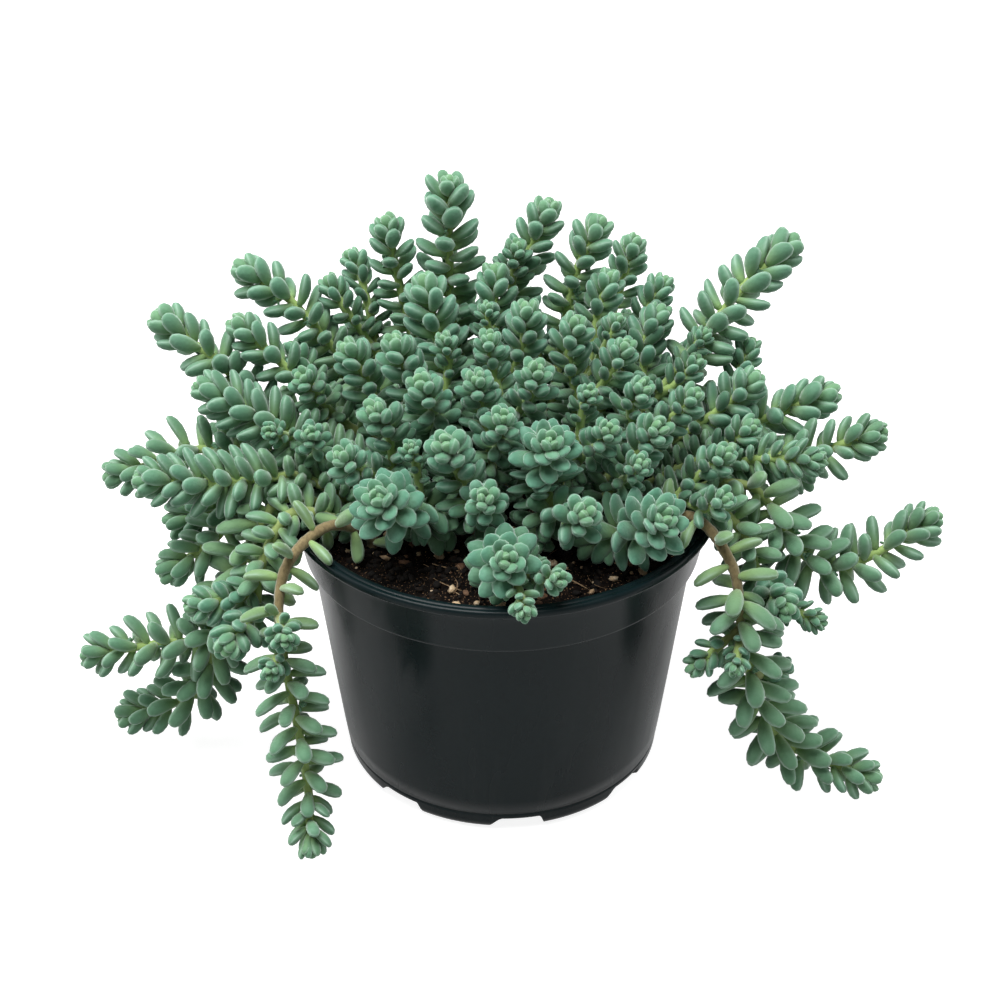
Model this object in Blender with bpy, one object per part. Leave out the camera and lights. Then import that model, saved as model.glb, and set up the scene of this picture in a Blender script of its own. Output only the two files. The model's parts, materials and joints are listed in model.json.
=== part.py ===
"""Potted trailing sedum in a black nursery pot.

Metres, +Z up. The origin is on the pot's axis at the surface that the pot stands on.
-Y is the front. Lengths below are in millimetres and MM turns them into metres.
"""
import math

import bmesh
import bpy
import numpy as np
from mathutils import Matrix, Vector

MM = 0.001

# Pot sizes
POT_HEIGHT = 81.0
RIM_RADIUS = 57.0
LIP_INNER_RADIUS = 53.6
BAND_HEIGHT = 15.0
BAND_TOP_RADIUS = 55.3
BAND_BOTTOM_RADIUS = 52.6
BODY_TOP_RADIUS = 51.0
BODY_BOTTOM_RADIUS = 43.3
FOOT_RADIUS = 41.0
FOOT_INNER_RADIUS = 38.4
WALL = 1.3
FLOOR_UNDERSIDE = 5.0
FLOOR_THICKNESS = 1.4
POT_SIDES = 32
FOOT_NOTCHES = 8
NOTCH_WIDTH = 13.0
NOTCH_HEIGHT = 4.4
FIRST_NOTCH_ANGLE = -85.4
DRAIN_HOLES = 4
DRAIN_RADIUS = 4.5
DRAIN_CIRCLE = 24.0

# Soil and the holes that the stems stand in
SOIL_TOP = 77.0
SOIL_EDGE_DROP = 0.8
SOIL_GAP = 0.3
HOLE_GAP = 0.3
HOLE_DEPTH = 7.0
HOLE_LIMIT_RADIUS = 45.5
HOLE_SPACING = 8.0

# Leaves and stems
STEM_RADIUS = 1.5
STEM_SIDES = 4
CURVE_STEPS = 8
LEAF_STEP = 10.9
MOUND_LEAFY = 7.0
BACK_START = 36.0
LEAF_LENGTH = 10.5
LEAF_WIDTH = 5.6
LEAF_THICKNESS_RATIO = 0.62
LEAF_WIDEST = 0.6
LEAF_LEAN = math.radians(62.0)
CLEARANCE = 0.7

# The mound of heads is a dome over the rim: how far it falls over its reach to each side and to front and back
DOME_DROP = 32.0
DOME_REACH_X = 70.0
DOME_REACH_Y = 60.0
DOME_CENTRE_Y = 10.0

# Each mound stem: the name, then its heads as x, y, height over the rim, radius
MOUND_STEMS = [
    ("front_stem_1", [(-28, -37, 18, 10.2), (-22, -27, 27, 3.6)]),
    ("front_stem_3", [(37, -38, 13, 10.2)]),
    ("front_stem_4", [(19, -41, 17, 7.0), (11, -29, 28, 9.4)]),
    ("front_stem_5", [(-4, -39, 20, 6.2), (-13, -29, 28, 7.4)]),
    ("front_stem_6", [(-38, -24, 22, 6.2), (-30, -16, 30, 6.6)]),
    ("front_stem_7", [(37, -19, 27, 6.4), (33, -28, 23, 4.6)]),
    ("front_stem_8", [(53, -27, 12, 5.8), (54, -15, 17, 6.0)]),
    ("front_stem_9", [(25, -23, 29, 5.4), (21, -13, 34, 4.2)]),
    ("crown_stem_1", [(0, -23, 32, 6.0), (-6, -13, 37, 5.8)]),
    ("crown_stem_2", [(-19, -12, 35, 6.6), (-26, 2, 38, 7.0), (-14, 3, 40, 4.4)]),
    ("crown_stem_3", [(8, -11, 38, 6.2), (-3, 0, 41, 5.4)]),
    ("crown_stem_4", [(34, -8, 32, 5.6), (47, -3, 27, 5.6)]),
    ("crown_stem_5", [(62, 0, 16, 5.8)]),
    ("crown_stem_6", [(63, 11, 23, 7.2)]),
    ("crown_stem_7", [(6, 12, 42, 6.8), (-4, 15, 43, 3.6)]),
    ("crown_stem_8", [(18, 7, 41, 6.4), (30, 3, 37, 5.8)]),
    ("crown_stem_9", [(-38, 9, 33, 6.8)]),
    ("crown_stem_10", [(49, 15, 27, 5.0), (40, 26, 34, 6.8), (52, 20, 33, 4.0)]),
    ("crown_stem_11", [(29, 17, 38, 4.4), (27, 29, 43, 6.2)]),
    ("crown_stem_12", [(-19, 21, 44, 8.0)]),
    ("crown_stem_13", [(-2, 29, 44, 6.8)]),
    ("crown_stem_14", [(42, 40, 37, 5.6)]),
    ("left_stem_2", [(-44.5, 34, 40, 5.4), (-39.5, 44, 43, 5.2)]),
    ("back_stem_1", [(-51, 38, 20, 6.2), (-40, 49, 20, 6.2)]),
    ("back_stem_2", [(-25, 51, 24, 6.4), (-10, 53, 26, 6.4)]),
    ("back_stem_3", [(6, 54, 25, 6.6), (21, 51, 26, 6.4)]),
    ("back_stem_4", [(35, 50, 20, 6.4), (52, 40, 17, 6.4)]),
    ("back_stem_5", [(-31, 57, 8, 6.4), (-14, 61, 10, 6.6)]),
    ("back_stem_6", [(17, 61, 10, 6.6), (33, 57, 7, 6.4)]),
]

# Each free shoot: the name, then its branches as points x, y, height over the rim,
# the head's radius and how much of the branch's end carries leaves, in millimetres
SHOOTS = [
    ("front_stem_2", [
        ([(2, -32, -4), (1, -41, 2.5), (1, -50, 10)], 9.8, 0),
        ([(2, -43, 4.5), (9, -49, 4.5), (12, -54, 8)], 4.8, 0),
        ([(1, -44, 5), (4, -54, 4.5), (5, -60, 4)], 4.2, 0),
    ]),
    ("upright_shoot_1", [([(-14, 24, -4), (-24, 34, 25), (-28, 39, 42), (-30, 40, 54)], 6.2, 20)]),
    ("upright_shoot_2", [([(-6, 30, -4), (-13, 36, 28), (-14, 39, 48), (-14, 40, 66)], 7.8, 34)]),
    ("upright_shoot_3", [
        ([(3, 32, -4), (2, 39, 30), (6, 43, 44), (11, 45, 56)], 6.6, 22),
        ([(2, 39, 32), (3.5, 37, 49)], 5.4, 2),
    ]),
    ("upright_shoot_4", [([(12, 28, -4), (17, 35, 30), (20, 38, 44), (24, 39, 54)], 6.6, 20)]),
    ("upright_shoot_5", [([(21, 32, -4), (30, 43, 28), (35, 48, 45)], 5.6, 12)]),
    ("upper_left_shoot_1", [([(-24, 22, -4), (-45, 28, 26), (-56, 32, 38), (-66, 35, 44)], 7.0, 24)]),
    ("upper_left_shoot_2", [([(-30, 13, -4), (-57, 11, 9), (-73, 18, 25.5), (-87, 24, 34.5)], 7.2, 30)]),
    ("upper_left_shoot_3", [
        ([(-27, 14, -4), (-44, 12, 14), (-56, 16, 26), (-66.5, 19, 35.5)], 6.4, 14),
        ([(-44, 12, 14), (-50, 5, 28)], 5.8, 0),
        ([(-46, 12, 15), (-54, 22, 26)], 6.0, 0),
    ]),
    ("left_shoot_1", [
        ([(-33, -4, -4), (-50, 0, 12), (-60, 2, 18), (-72, 5, 24)], 10.0, 18),
        ([(-54, 1, 14), (-58, -6, 20)], 3.8, 2),
        ([(-48, -1, 10), (-48, -12, 22)], 5.2, 4),
    ]),
    ("left_shoot_2", [([(-38, 4, -4), (-58, 7, 5), (-80, 9, 6), (-101, 10, -2)], 7.0, 40)]),
    ("left_shoot_3", [([(-39, -8, -4), (-51, -7, 7), (-60, -9, 8), (-72, -11, 8), (-86, -12, 9)], 9.8, 22)]),
    ("left_shoot_4", [
        ([(-43, -2, -4), (-51, -2, 4.2), (-59, -2, 4.2), (-70, 0, -4), (-84, 2, -11)], 7.6, 22),
        ([(-66, -1, -1), (-75, -8, -11), (-85, -10, -18)], 7.4, 16),
    ]),
    ("left_shoot_5", [
        ([(-40, -15, -4), (-47.5, -18.5, 3.5), (-54.5, -21, 3.8), (-60.5, -26.5, -6), (-62.5, -31.5, -17.5),
          (-66.5, -42, -18)], 7.2, 10),
        ([(-61, -28, -10), (-66, -31, -14), (-74.5, -34, -13.5)], 6.0, 9),
    ]),
    ("left_shoot_6", [
        ([(-44, -9, -4), (-51, -11.5, 3.5), (-58.5, -14, 3), (-67, -17, -12), (-76, -13, -38), (-92, -11, -43),
          (-109, -10, -47)], 7.2, 46),
        ([(-76, -13, -38), (-82, -9, -58), (-92, -6, -68), (-102, -5, -71)], 7.2, 36),
    ]),
    ("left_trailing_stem", [
        ([(-33, -21, -4), (-41, -27, 5.5), (-48, -31, 4), (-53.5, -37, -1), (-55, -43, -9), (-54, -48, -19),
          (-52, -52, -30), (-50, -56, -42), (-48.7, -58.5, -55), (-48, -67, -61)], 6.6, 46),
        ([(-55, -44, -10), (-52.5, -55.5, -7.5)], 5.0, 3),
        ([(-54, -47, -17), (-55.5, -56, -16.5)], 4.6, 3),
    ]),
    ("right_shoot_1", [([(26, 17, -4), (46, 20, 20), (55, 26, 33), (65, 33, 43), (74, 39, 49)], 7.4, 30)]),
    ("right_shoot_2", [
        ([(43, 15, -4), (58, 15, 7), (70, 14, 12.5), (83, 15, 18)], 7.2, 24),
        ([(60, 15, 8), (61, 20, 16), (65, 24, 26.5)], 5.4, 4),
    ]),
    ("right_shoot_3", [([(39, 6, -4), (57, 7, 5), (80, 6, 6), (95, 5, 12)], 7.0, 28)]),
    ("right_shoot_4", [([(42, -1, -4), (57, -2, 7), (67, -5, 11.5), (77.5, -9, 13.5)], 6.6, 20)]),
    ("right_shoot_5", [
        ([(43, -7, -4), (52, -8.5, 5), (62, -9.5, 6.5), (68, -11, 2.5), (74, -12, -8), (83, -12, -17), (92, -10, -18),
          (101, -7.5, -14.5), (110, -5, -9)], 7.6, 50),
    ]),
    ("right_shoot_6", [
        ([(41, -13, -4), (48, -15.5, 3.5), (56, -18, 3.5), (62.5, -20, -4), (66.5, -23, -15), (69.5, -32.5, -13.5)],
         7.2, 10),
        ([(66.5, -23, -15), (73, -24.5, -21), (80, -27, -23.5)], 4.8, 6),
    ]),
    ("right_trailing_stem", [
        ([(36, -18, -4), (45, -22, 5), (51.5, -26, 4), (57, -33, -2), (59, -36, -9), (60, -38, -18), (62, -39, -26),
          (64, -39, -36), (68.5, -37, -47), (73, -35, -56), (81, -33, -63.5), (94.5, -36, -67)], 7.4, 60),
        ([(60, -38, -18), (50, -43, -25)], 5.0, 4),
        ([(60, -38, -19), (58, -48, -22)], 3.8, 3),
        ([(64, -39, -33), (71.5, -31.5, -36)], 4.8, 4),
    ]),
    ("back_shoot_1", [
        ([(-24, 37, -4), (-30, 43, 3), (-35, 49, 3.8), (-42, 58, -6), (-47, 62, -24), (-48, 63, -42)], 6.8, 34),
    ]),
    ("back_shoot_2", [
        ([(1, 43, -4), (1, 52, 3.5), (1, 60, 3.5), (1, 66, -6), (2, 66, -22), (3, 64, -36)], 6.8, 28),
    ]),
    ("back_shoot_3", [
        ([(28, 36, -4), (34, 41, 3), (39, 46, 3.8), (47, 55, -6), (54, 60, -24), (58, 60, -48)], 6.8, 40),
    ]),
    ("back_shoot_4", [([(-37, 22, -4), (-45, 25, 3.5), (-54, 28, 3.5), (-70, 34, -6), (-83, 38, -22)], 7.4, 24)]),
    ("back_shoot_5", [([(37, 20, -4), (47, 24, 3.5), (55, 27, 3.5), (70, 33, -4), (83, 36, -18)], 7.4, 24)]),
]


# General helpers

def clear_scene():
    for item in list(bpy.data.objects):
        bpy.data.objects.remove(item)


def make_material(name, colour, roughness, metallic=0.0):
    material = bpy.data.materials.new(name)
    material.use_nodes = True
    shader = material.node_tree.nodes["Principled BSDF"]
    shader.inputs["Base Color"].default_value = (*colour, 1.0)
    shader.inputs["Roughness"].default_value = roughness
    shader.inputs["Metallic"].default_value = metallic
    return material


def object_from_bmesh(name, solid):
    """Make a scene object of a solid in millimetres, with all faces turned outward."""
    bmesh.ops.recalc_face_normals(solid, faces=solid.faces)
    bmesh.ops.scale(solid, vec=Vector((MM, MM, MM)), verts=solid.verts)
    mesh = bpy.data.meshes.new(name)
    solid.to_mesh(mesh)
    solid.free()
    item = bpy.data.objects.new(name, mesh)
    bpy.context.scene.collection.objects.link(item)
    return item


def join_solids(target, tools, operation):
    """Apply one Boolean of a collection of tools to the target, then remove the tools."""
    bag = bpy.data.collections.new("tools")
    bpy.context.scene.collection.children.link(bag)
    for tool in tools:
        bag.objects.link(tool)
    modifier = target.modifiers.new("join", "BOOLEAN")
    modifier.operation = operation
    modifier.operand_type = "COLLECTION"
    modifier.collection = bag
    modifier.solver = "EXACT"
    modifier.use_self = operation == "UNION"
    graph = bpy.context.evaluated_depsgraph_get()
    mesh = bpy.data.meshes.new_from_object(target.evaluated_get(graph))
    old_mesh = target.data
    target.modifiers.clear()
    target.data = mesh
    bpy.data.meshes.remove(old_mesh)
    for tool in tools:
        bpy.data.objects.remove(tool)
    bpy.data.collections.remove(bag)


def keep_largest_shell(item):
    """Drop loose scraps and fill sealed hollows: only the largest shell of faces joined by edges stays."""
    solid = bmesh.new()
    solid.from_mesh(item.data)
    unseen = set(solid.faces)
    shells = []
    while unseen:
        shell = [unseen.pop()]
        for face in shell:
            for edge in face.edges:
                for other in edge.link_faces:
                    if other in unseen:
                        unseen.remove(other)
                        shell.append(other)
        shells.append(shell)
    shells.sort(key=len)
    for shell in shells[:-1]:
        bmesh.ops.delete(solid, geom=shell, context="FACES")
    solid.to_mesh(item.data)
    solid.free()


def finish(item, material):
    item.data.materials.clear()
    item.data.materials.append(material)
    item.data.shade_smooth()
    item.data.set_sharp_from_angle(angle=math.radians(35))


# Pot and soil

def turned_solid(name, profile, sides):
    """Turn a closed profile of radius and height pairs round Z; a radius of 0 is a point on the axis."""
    solid = bmesh.new()
    rings = []
    for radius, height in profile:
        if radius == 0:
            rings.append([solid.verts.new((0, 0, height))] * sides)
            continue
        ring = []
        for side in range(sides):
            angle = 2 * math.pi * side / sides
            ring.append(solid.verts.new((radius * math.cos(angle), radius * math.sin(angle), height)))
        rings.append(ring)
    for index, ring in enumerate(rings):
        next_ring = rings[(index + 1) % len(rings)]
        for side in range(sides):
            following = (side + 1) % sides
            corners = [ring[side], ring[following], next_ring[following], next_ring[side]]
            corners = list(dict.fromkeys(corners))
            if len(corners) > 2:
                solid.faces.new(corners)
    return object_from_bmesh(name, solid)


def block(name, size, place, turn):
    solid = bmesh.new()
    bmesh.ops.create_cube(solid, size=1.0)
    bmesh.ops.scale(solid, vec=Vector(size), verts=solid.verts)
    bmesh.ops.translate(solid, vec=Vector(place), verts=solid.verts)
    bmesh.ops.rotate(solid, verts=solid.verts, matrix=Matrix.Rotation(turn, 3, "Z"))
    return object_from_bmesh(name, solid)


def upright_prism(name, x, y, bottom, top, radius, sides):
    solid = bmesh.new()
    bmesh.ops.create_cone(solid, cap_ends=True, segments=sides, radius1=radius, radius2=radius, depth=top - bottom)
    bmesh.ops.translate(solid, vec=Vector((x, y, (top + bottom) / 2)), verts=solid.verts)
    return object_from_bmesh(name, solid)


def build_pot():
    floor_top = FLOOR_UNDERSIDE + FLOOR_THICKNESS
    band_bottom = POT_HEIGHT - BAND_HEIGHT
    profile = [
        (FOOT_RADIUS, 0),
        (BODY_BOTTOM_RADIUS, 2.4),
        (BODY_TOP_RADIUS, band_bottom),
        (BAND_BOTTOM_RADIUS, band_bottom),
        (BAND_TOP_RADIUS, POT_HEIGHT - 2.2),
        (RIM_RADIUS, POT_HEIGHT - 2.0),
        (RIM_RADIUS, POT_HEIGHT - 0.5),
        (RIM_RADIUS - 0.5, POT_HEIGHT),
        (LIP_INNER_RADIUS, POT_HEIGHT),
        (BAND_BOTTOM_RADIUS - WALL, band_bottom + 0.5),
        (BODY_TOP_RADIUS - WALL, band_bottom - 1.3),
        (BODY_BOTTOM_RADIUS - WALL, floor_top),
        (0, floor_top),
        (0, FLOOR_UNDERSIDE),
        (FOOT_INNER_RADIUS, FLOOR_UNDERSIDE),
        (FOOT_INNER_RADIUS, 0),
    ]
    pot = turned_solid("pot", profile, POT_SIDES)
    cutters = []
    for index in range(FOOT_NOTCHES):
        turn = math.radians(FIRST_NOTCH_ANGLE) + 2 * math.pi * index / FOOT_NOTCHES
        size = (12.0, NOTCH_WIDTH, 2 * NOTCH_HEIGHT)
        cutters.append(block(f"notch_{index}", size, (FOOT_RADIUS, 0, 0), turn))
    for index in range(DRAIN_HOLES):
        angle = 2 * math.pi * (index + 0.5) / DRAIN_HOLES
        x = DRAIN_CIRCLE * math.cos(angle)
        y = DRAIN_CIRCLE * math.sin(angle)
        cutters.append(upright_prism(f"drain_{index}", x, y, 1.0, floor_top + 2.0, DRAIN_RADIUS, 8))
    join_solids(pot, cutters, "DIFFERENCE")
    finish(pot, make_material("black_plastic", (0.012, 0.014, 0.015), 0.32))


def build_soil(stem_places):
    """Soil filling the pot, with a plain hole for each stem."""
    bottom = FLOOR_UNDERSIDE + FLOOR_THICKNESS + SOIL_GAP
    gap = WALL + SOIL_GAP
    band_bottom = POT_HEIGHT - BAND_HEIGHT
    flare = (LIP_INNER_RADIUS - BAND_BOTTOM_RADIUS + WALL) / (BAND_HEIGHT - 1.2)
    edge_radius = BAND_BOTTOM_RADIUS - gap - 0.1 + (SOIL_TOP - SOIL_EDGE_DROP - band_bottom - 0.5) * flare
    profile = [
        (0, bottom),
        (BODY_BOTTOM_RADIUS - gap, bottom),
        (BODY_TOP_RADIUS - gap - 0.1, band_bottom - 1.3),
        (edge_radius, SOIL_TOP - SOIL_EDGE_DROP),
        (edge_radius - 4.0, SOIL_TOP),
        (0, SOIL_TOP),
    ]
    soil = turned_solid("soil", profile, POT_SIDES)
    cutters = []
    for index, (x, y) in enumerate(stem_places):
        hole_radius = STEM_RADIUS + HOLE_GAP
        name = f"hole_{index}"
        cutters.append(upright_prism(name, x, y, SOIL_TOP - HOLE_DEPTH, SOIL_TOP + 3.0, hole_radius, STEM_SIDES))
    join_solids(soil, cutters, "DIFFERENCE")
    finish(soil, make_material("potting_soil", (0.020, 0.014, 0.010), 0.95))


# Layout of stems and heads

def dome_normal(x, y):
    slope_x = 2 * DOME_DROP * x / DOME_REACH_X ** 2
    slope_y = 2 * DOME_DROP * (y - DOME_CENTRE_Y) / DOME_REACH_Y ** 2
    return Vector((slope_x, slope_y, 1.0)).normalized()


def spread_holes(places):
    """Push the stems' holes apart until they keep their spacing inside the rim."""
    spots = np.array(places, float)
    for _ in range(200):
        offset = spots[:, None] - spots[None]
        distance = np.linalg.norm(offset, axis=2) + np.eye(len(spots)) * 1000
        push = np.clip(HOLE_SPACING - distance, 0, None) / distance
        spots += 0.25 * (offset * push[:, :, None]).sum(axis=1)
        reach = np.linalg.norm(spots, axis=1)
        spots *= np.minimum(1, HOLE_LIMIT_RADIUS / reach)[:, None]
    return [tuple(spot) for spot in spots]


def mound_branches(heads, hole):
    """Branches of one mound stem: up out of its hole, forking once, each to its own head."""
    places = [Vector((x, y, POT_HEIGHT + height)) for x, y, height, _ in heads]
    collar = Vector((*hole, SOIL_TOP + 1.0))
    middle = sum(places, Vector()) / len(places)
    fork = collar.lerp(middle, 0.5)
    branches = []
    for place, (x, y, _, radius) in zip(places, heads):
        axis = dome_normal(x, y)
        neck = place - axis * 0.8 * radius
        points = [collar, fork, neck] if not branches else [fork, neck]
        leafy = MOUND_LEAFY if y < BACK_START and not branches else 0.0
        branches.append({"points": points, "head": place, "axis": axis, "radius": radius, "leafy": leafy,
                         "rooted": not branches})
    return branches


def shoot_branches(rows, hole):
    """Branches of one free shoot, the first one standing in its hole."""
    branches = []
    for points, radius, leafy in rows:
        path = [Vector((x, y, POT_HEIGHT + height)) for x, y, height in points]
        if not branches:
            path[0] = Vector((*hole, SOIL_TOP + 1.0))
        axis = (path[-1] - path[-2]).normalized()
        head = path[-1]
        path[-1] = head - axis * 0.8 * radius
        if (path[-1] - path[-2]).dot(axis) < 2.0:
            path.pop(-2)
        branches.append({"points": path, "head": head, "axis": axis, "radius": radius, "leafy": leafy,
                         "rooted": not branches})
    return branches


def plan_stems():
    """All the plant's nodes as name and branches, with their holes spread over the soil."""
    wanted = []
    for _, heads in MOUND_STEMS:
        x = sum(head[0] for head in heads) / len(heads)
        y = sum(head[1] for head in heads) / len(heads)
        wanted.append((x * 0.6, DOME_CENTRE_Y * 0.4 + (y - DOME_CENTRE_Y * 0.4) * 0.6))
    for _, rows in SHOOTS:
        wanted.append(rows[0][0][0][:2])
    holes = spread_holes(wanted)
    stems = []
    for (name, heads), hole in zip(MOUND_STEMS, holes):
        stems.append((name, mound_branches(heads, hole)))
    for (name, rows), hole in zip(SHOOTS, holes[len(MOUND_STEMS):]):
        stems.append((name, shoot_branches(rows, hole)))
    return stems, holes


# Rings of the stems and leaves raised from their sides

def curve_through(points, first_direction):
    """Fine Catmull-Rom curve through the points, leaving the first one in a given direction."""
    before = points[0] - first_direction * (points[1] - points[0]).length
    ends = [before] + points + [points[-1] * 2 - points[-2]]
    curve = []
    for index in range(len(points) - 1):
        a, b, c, d = ends[index:index + 4]
        for step in range(CURVE_STEPS):
            t = step / CURVE_STEPS
            curve.append(0.5 * (2 * b + (c - a) * t + (2 * a - 5 * b + 4 * c - d) * t * t
                                + (3 * b - a - 3 * c + d) * t ** 3))
    curve.append(points[-1])
    return curve


def places_along(curve, leafy):
    """Places along a curve: its own points on the bare part, then even steps on its leafy end."""
    travelled = [0.0]
    for start, end in zip(curve, curve[1:]):
        travelled.append(travelled[-1] + (end - start).length)
    total = travelled[-1]
    leafy = min(leafy, total - 2.0)
    bare = total - leafy
    leaf_steps = round(leafy / LEAF_STEP)
    wanted = [reach for reach in travelled[::CURVE_STEPS] if reach < bare - 3.0]
    bare_steps = len(wanted)
    wanted += [bare + leafy * step / max(leaf_steps, 1) for step in range(leaf_steps + 1)]
    xs = [point.x for point in curve]
    ys = [point.y for point in curve]
    zs = [point.z for point in curve]
    spots = [Vector((np.interp(w, travelled, xs), np.interp(w, travelled, ys), np.interp(w, travelled, zs)))
             for w in wanted]
    return spots, bare_steps


def head_tiers(radius):
    """A head's leaf tiers as their lean from the axis, and how many leaves each has."""
    if radius < 5.3:
        return [(68, 4)]
    if radius < 6.7:
        return [(80, 4), (40, 2)]
    if radius < 9.0:
        return [(84, 4), (42, 4)]
    return [(100, 4), (68, 4), (36, 4)]


def plan_rings(branch):
    """Add the branch's rings as place, direction and radius, and the first ring that carries leaves."""
    points = branch["points"]
    axis = branch["axis"]
    radius = branch["radius"]
    first_direction = Vector((0, 0, 1)) if branch["rooted"] else (points[1] - points[0]).normalized()
    curve = curve_through(points, first_direction)
    spots, first_leafy = places_along(curve, branch["leafy"])
    rings = []
    if branch["rooted"]:
        rings.append((Vector((points[0].x, points[0].y, SOIL_TOP - HOLE_DEPTH + HOLE_GAP)), Vector((0, 0, 1)),
                      STEM_RADIUS))
        first_leafy += 1
    for index, spot in enumerate(spots):
        ahead = spots[min(index + 1, len(spots) - 1)]
        behind = spots[max(index - 1, 0)]
        along = (ahead - behind).normalized()
        if index == 0:
            along = first_direction
        if index == len(spots) - 1:
            along = axis
        rings.append((spot, along, STEM_RADIUS))
    tiers = head_tiers(radius)
    low = -0.42 if len(tiers) > 1 else -0.3
    branch["head_ring"] = len(rings) - 1
    for step in range(len(tiers) + 1):
        part = step / len(tiers)
        height = (low + (0.36 - low) * part) * radius
        swell = 0.30 + 0.12 * math.sin(math.pi * (0.15 + 0.7 * part))
        rings.append((branch["head"] + axis * height, axis, swell * radius))
    branch["rings"] = rings
    branch["first_leafy"] = first_leafy
    branch["tiers"] = tiers
    branch["tip"] = branch["head"] + axis * 0.62 * radius


def plan_corners(branch):
    """Corner points of every ring, with the ring's turn carried along the stem without twisting."""
    side = Vector((1, 0, 0))
    corners = []
    for place, along, thick in branch["rings"]:
        side = (side - along * side.dot(along)).normalized()
        other = along.cross(side)
        ring = []
        for corner in range(STEM_SIDES):
            angle = 2 * math.pi * corner / STEM_SIDES
            ring.append(place + (side * math.cos(angle) + other * math.sin(angle)) * thick)
        corners.append(ring)
    branch["corners"] = corners


def leaf_slots(branch):
    """Every leaf's place on the branch: ring, side, lean, twist, length and width."""
    slots = []
    pair = 0
    for ring in range(branch["first_leafy"], branch["head_ring"]):
        for side in (pair % 2, pair % 2 + 2):
            slots.append((ring, side, LEAF_LEAN, 0.0, LEAF_LENGTH, LEAF_WIDTH))
        pair += 1
    radius = branch["radius"]
    tiers = branch["tiers"]
    for tier, (lean, count) in enumerate(tiers):
        twist = math.radians(22.5) * (1 if tier % 2 else -1)
        width = min(0.98 * radius, LEAF_WIDTH * 1.25) * (1.0 - 0.4 * tier / len(tiers))
        length = radius * (1.04 if lean > 50 else 0.94)
        for side in range(0, STEM_SIDES, STEM_SIDES // count):
            slots.append((branch["head_ring"] + 1 + tier, side, math.radians(lean), twist, length, width))
    return slots


def leaf_frame(branch, slot):
    """Base corners, direction, breadth direction, length and width of the leaf in a slot."""
    ring, side, lean, twist, length, width = slot
    corners = branch["corners"]
    following = (side + 1) % STEM_SIDES
    base = [corners[ring][side], corners[ring][following], corners[ring + 1][following], corners[ring + 1][side]]
    centre = sum(base, Vector()) / 4
    place, along, _ = branch["rings"][ring]
    next_place, _, _ = branch["rings"][ring + 1]
    spine = (next_place - place).normalized()
    outward = centre - (place + next_place) / 2
    outward = (outward - spine * outward.dot(spine)).normalized()
    outward = Matrix.Rotation(twist, 3, spine) @ outward
    direction = (spine * math.cos(lean) + outward * math.sin(lean)).normalized()
    breadth = spine.cross(outward).normalized()
    reach = length
    if ring > branch["head_ring"]:
        reach = (branch["head"] + direction * length - centre).length
        direction = (branch["head"] + direction * length - centre).normalized()
        breadth = (breadth - direction * breadth.dot(direction)).normalized()
    return centre, direction, breadth, reach, width


def leaf_balls(centre, direction, reach, width):
    """A leaf's room as four balls along it."""
    parts = (0.32, 0.48, 0.64, 0.85)
    centres = [tuple(centre + direction * reach * part) for part in parts]
    radii = [width * part for part in (0.38, 0.46, 0.51, 0.26)]
    return np.array(centres), np.array(radii)


def stem_balls(branch):
    """A stem's and a head core's room as balls along its rings."""
    centres = []
    radii = []
    rings = branch["rings"]
    for (start, _, thick), (end, _, next_thick) in zip(rings, rings[1:]):
        count = max(2, int((end - start).length / 1.5))
        for step in range(count):
            centres.append(tuple(start.lerp(end, step / count)))
            radii.append(thick + (next_thick - thick) * step / count)
    return np.array(centres), np.array(radii)


class Room:
    """Balls taken by each branch, to keep the nodes clear of one another."""

    def __init__(self):
        self.centres = np.zeros((0, 3))
        self.radii = np.zeros(0)
        self.owners = np.zeros((0, 2), int)

    def add(self, centres, radii, owner):
        self.centres = np.vstack([self.centres, centres])
        self.radii = np.concatenate([self.radii, radii])
        self.owners = np.vstack([self.owners, np.tile(owner, (len(radii), 1))])

    def is_free(self, centres, radii, owner):
        if self.hits_pot(centres, radii):
            return False
        same_node = self.owners[:, 0] == owner[0]
        same_branch = same_node & (self.owners[:, 1] == owner[1])
        gap = np.where(same_node, 0.0, CLEARANCE)
        offset = centres[:, None] - self.centres[None]
        distance = np.sqrt((offset ** 2).sum(axis=2)) - radii[:, None] - self.radii[None]
        return bool((distance > gap)[:, ~same_branch].all())

    @staticmethod
    def hits_pot(centres, radii):
        """Keep leaves above the floor, above the soil and clear of the pot's wall and rim."""
        reach = np.hypot(centres[:, 0], centres[:, 1])
        low = centres[:, 2] - radii
        below_rim = low < POT_HEIGHT + CLEARANCE
        inside_wall = reach + radii < LIP_INNER_RADIUS - CLEARANCE - 0.5
        outside_wall = reach - radii > RIM_RADIUS + CLEARANCE
        blocked = below_rim & ~inside_wall & ~outside_wall
        sunk = low < SOIL_TOP + CLEARANCE
        return bool((low < 0.5).any() or blocked.any() or (sunk & ~outside_wall).any())


def place_leaves(stems):
    """Give every leaf a free place: as planned, turned, raised or shortened, or none."""
    room = Room()
    for owner, (_, branches) in enumerate(stems):
        for number, branch in enumerate(branches):
            plan_rings(branch)
            plan_corners(branch)
            room.add(*stem_balls(branch), (owner, number))
    placed = 0
    dropped = 0
    for owner, (_, branches) in enumerate(stems):
        for number, branch in enumerate(branches):
            branch["leaves"] = []
            for slot in leaf_slots(branch):
                leaf = free_leaf(room, (owner, number), branch, slot)
                if leaf is None:
                    dropped += 1
                    continue
                centre, direction, _, reach, width = leaf
                room.add(*leaf_balls(centre, direction, reach, width), (owner, number))
                branch["leaves"].append((slot[0], slot[1], leaf))
                placed += 1
    print("leaves placed", placed, "left out", dropped)


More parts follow.
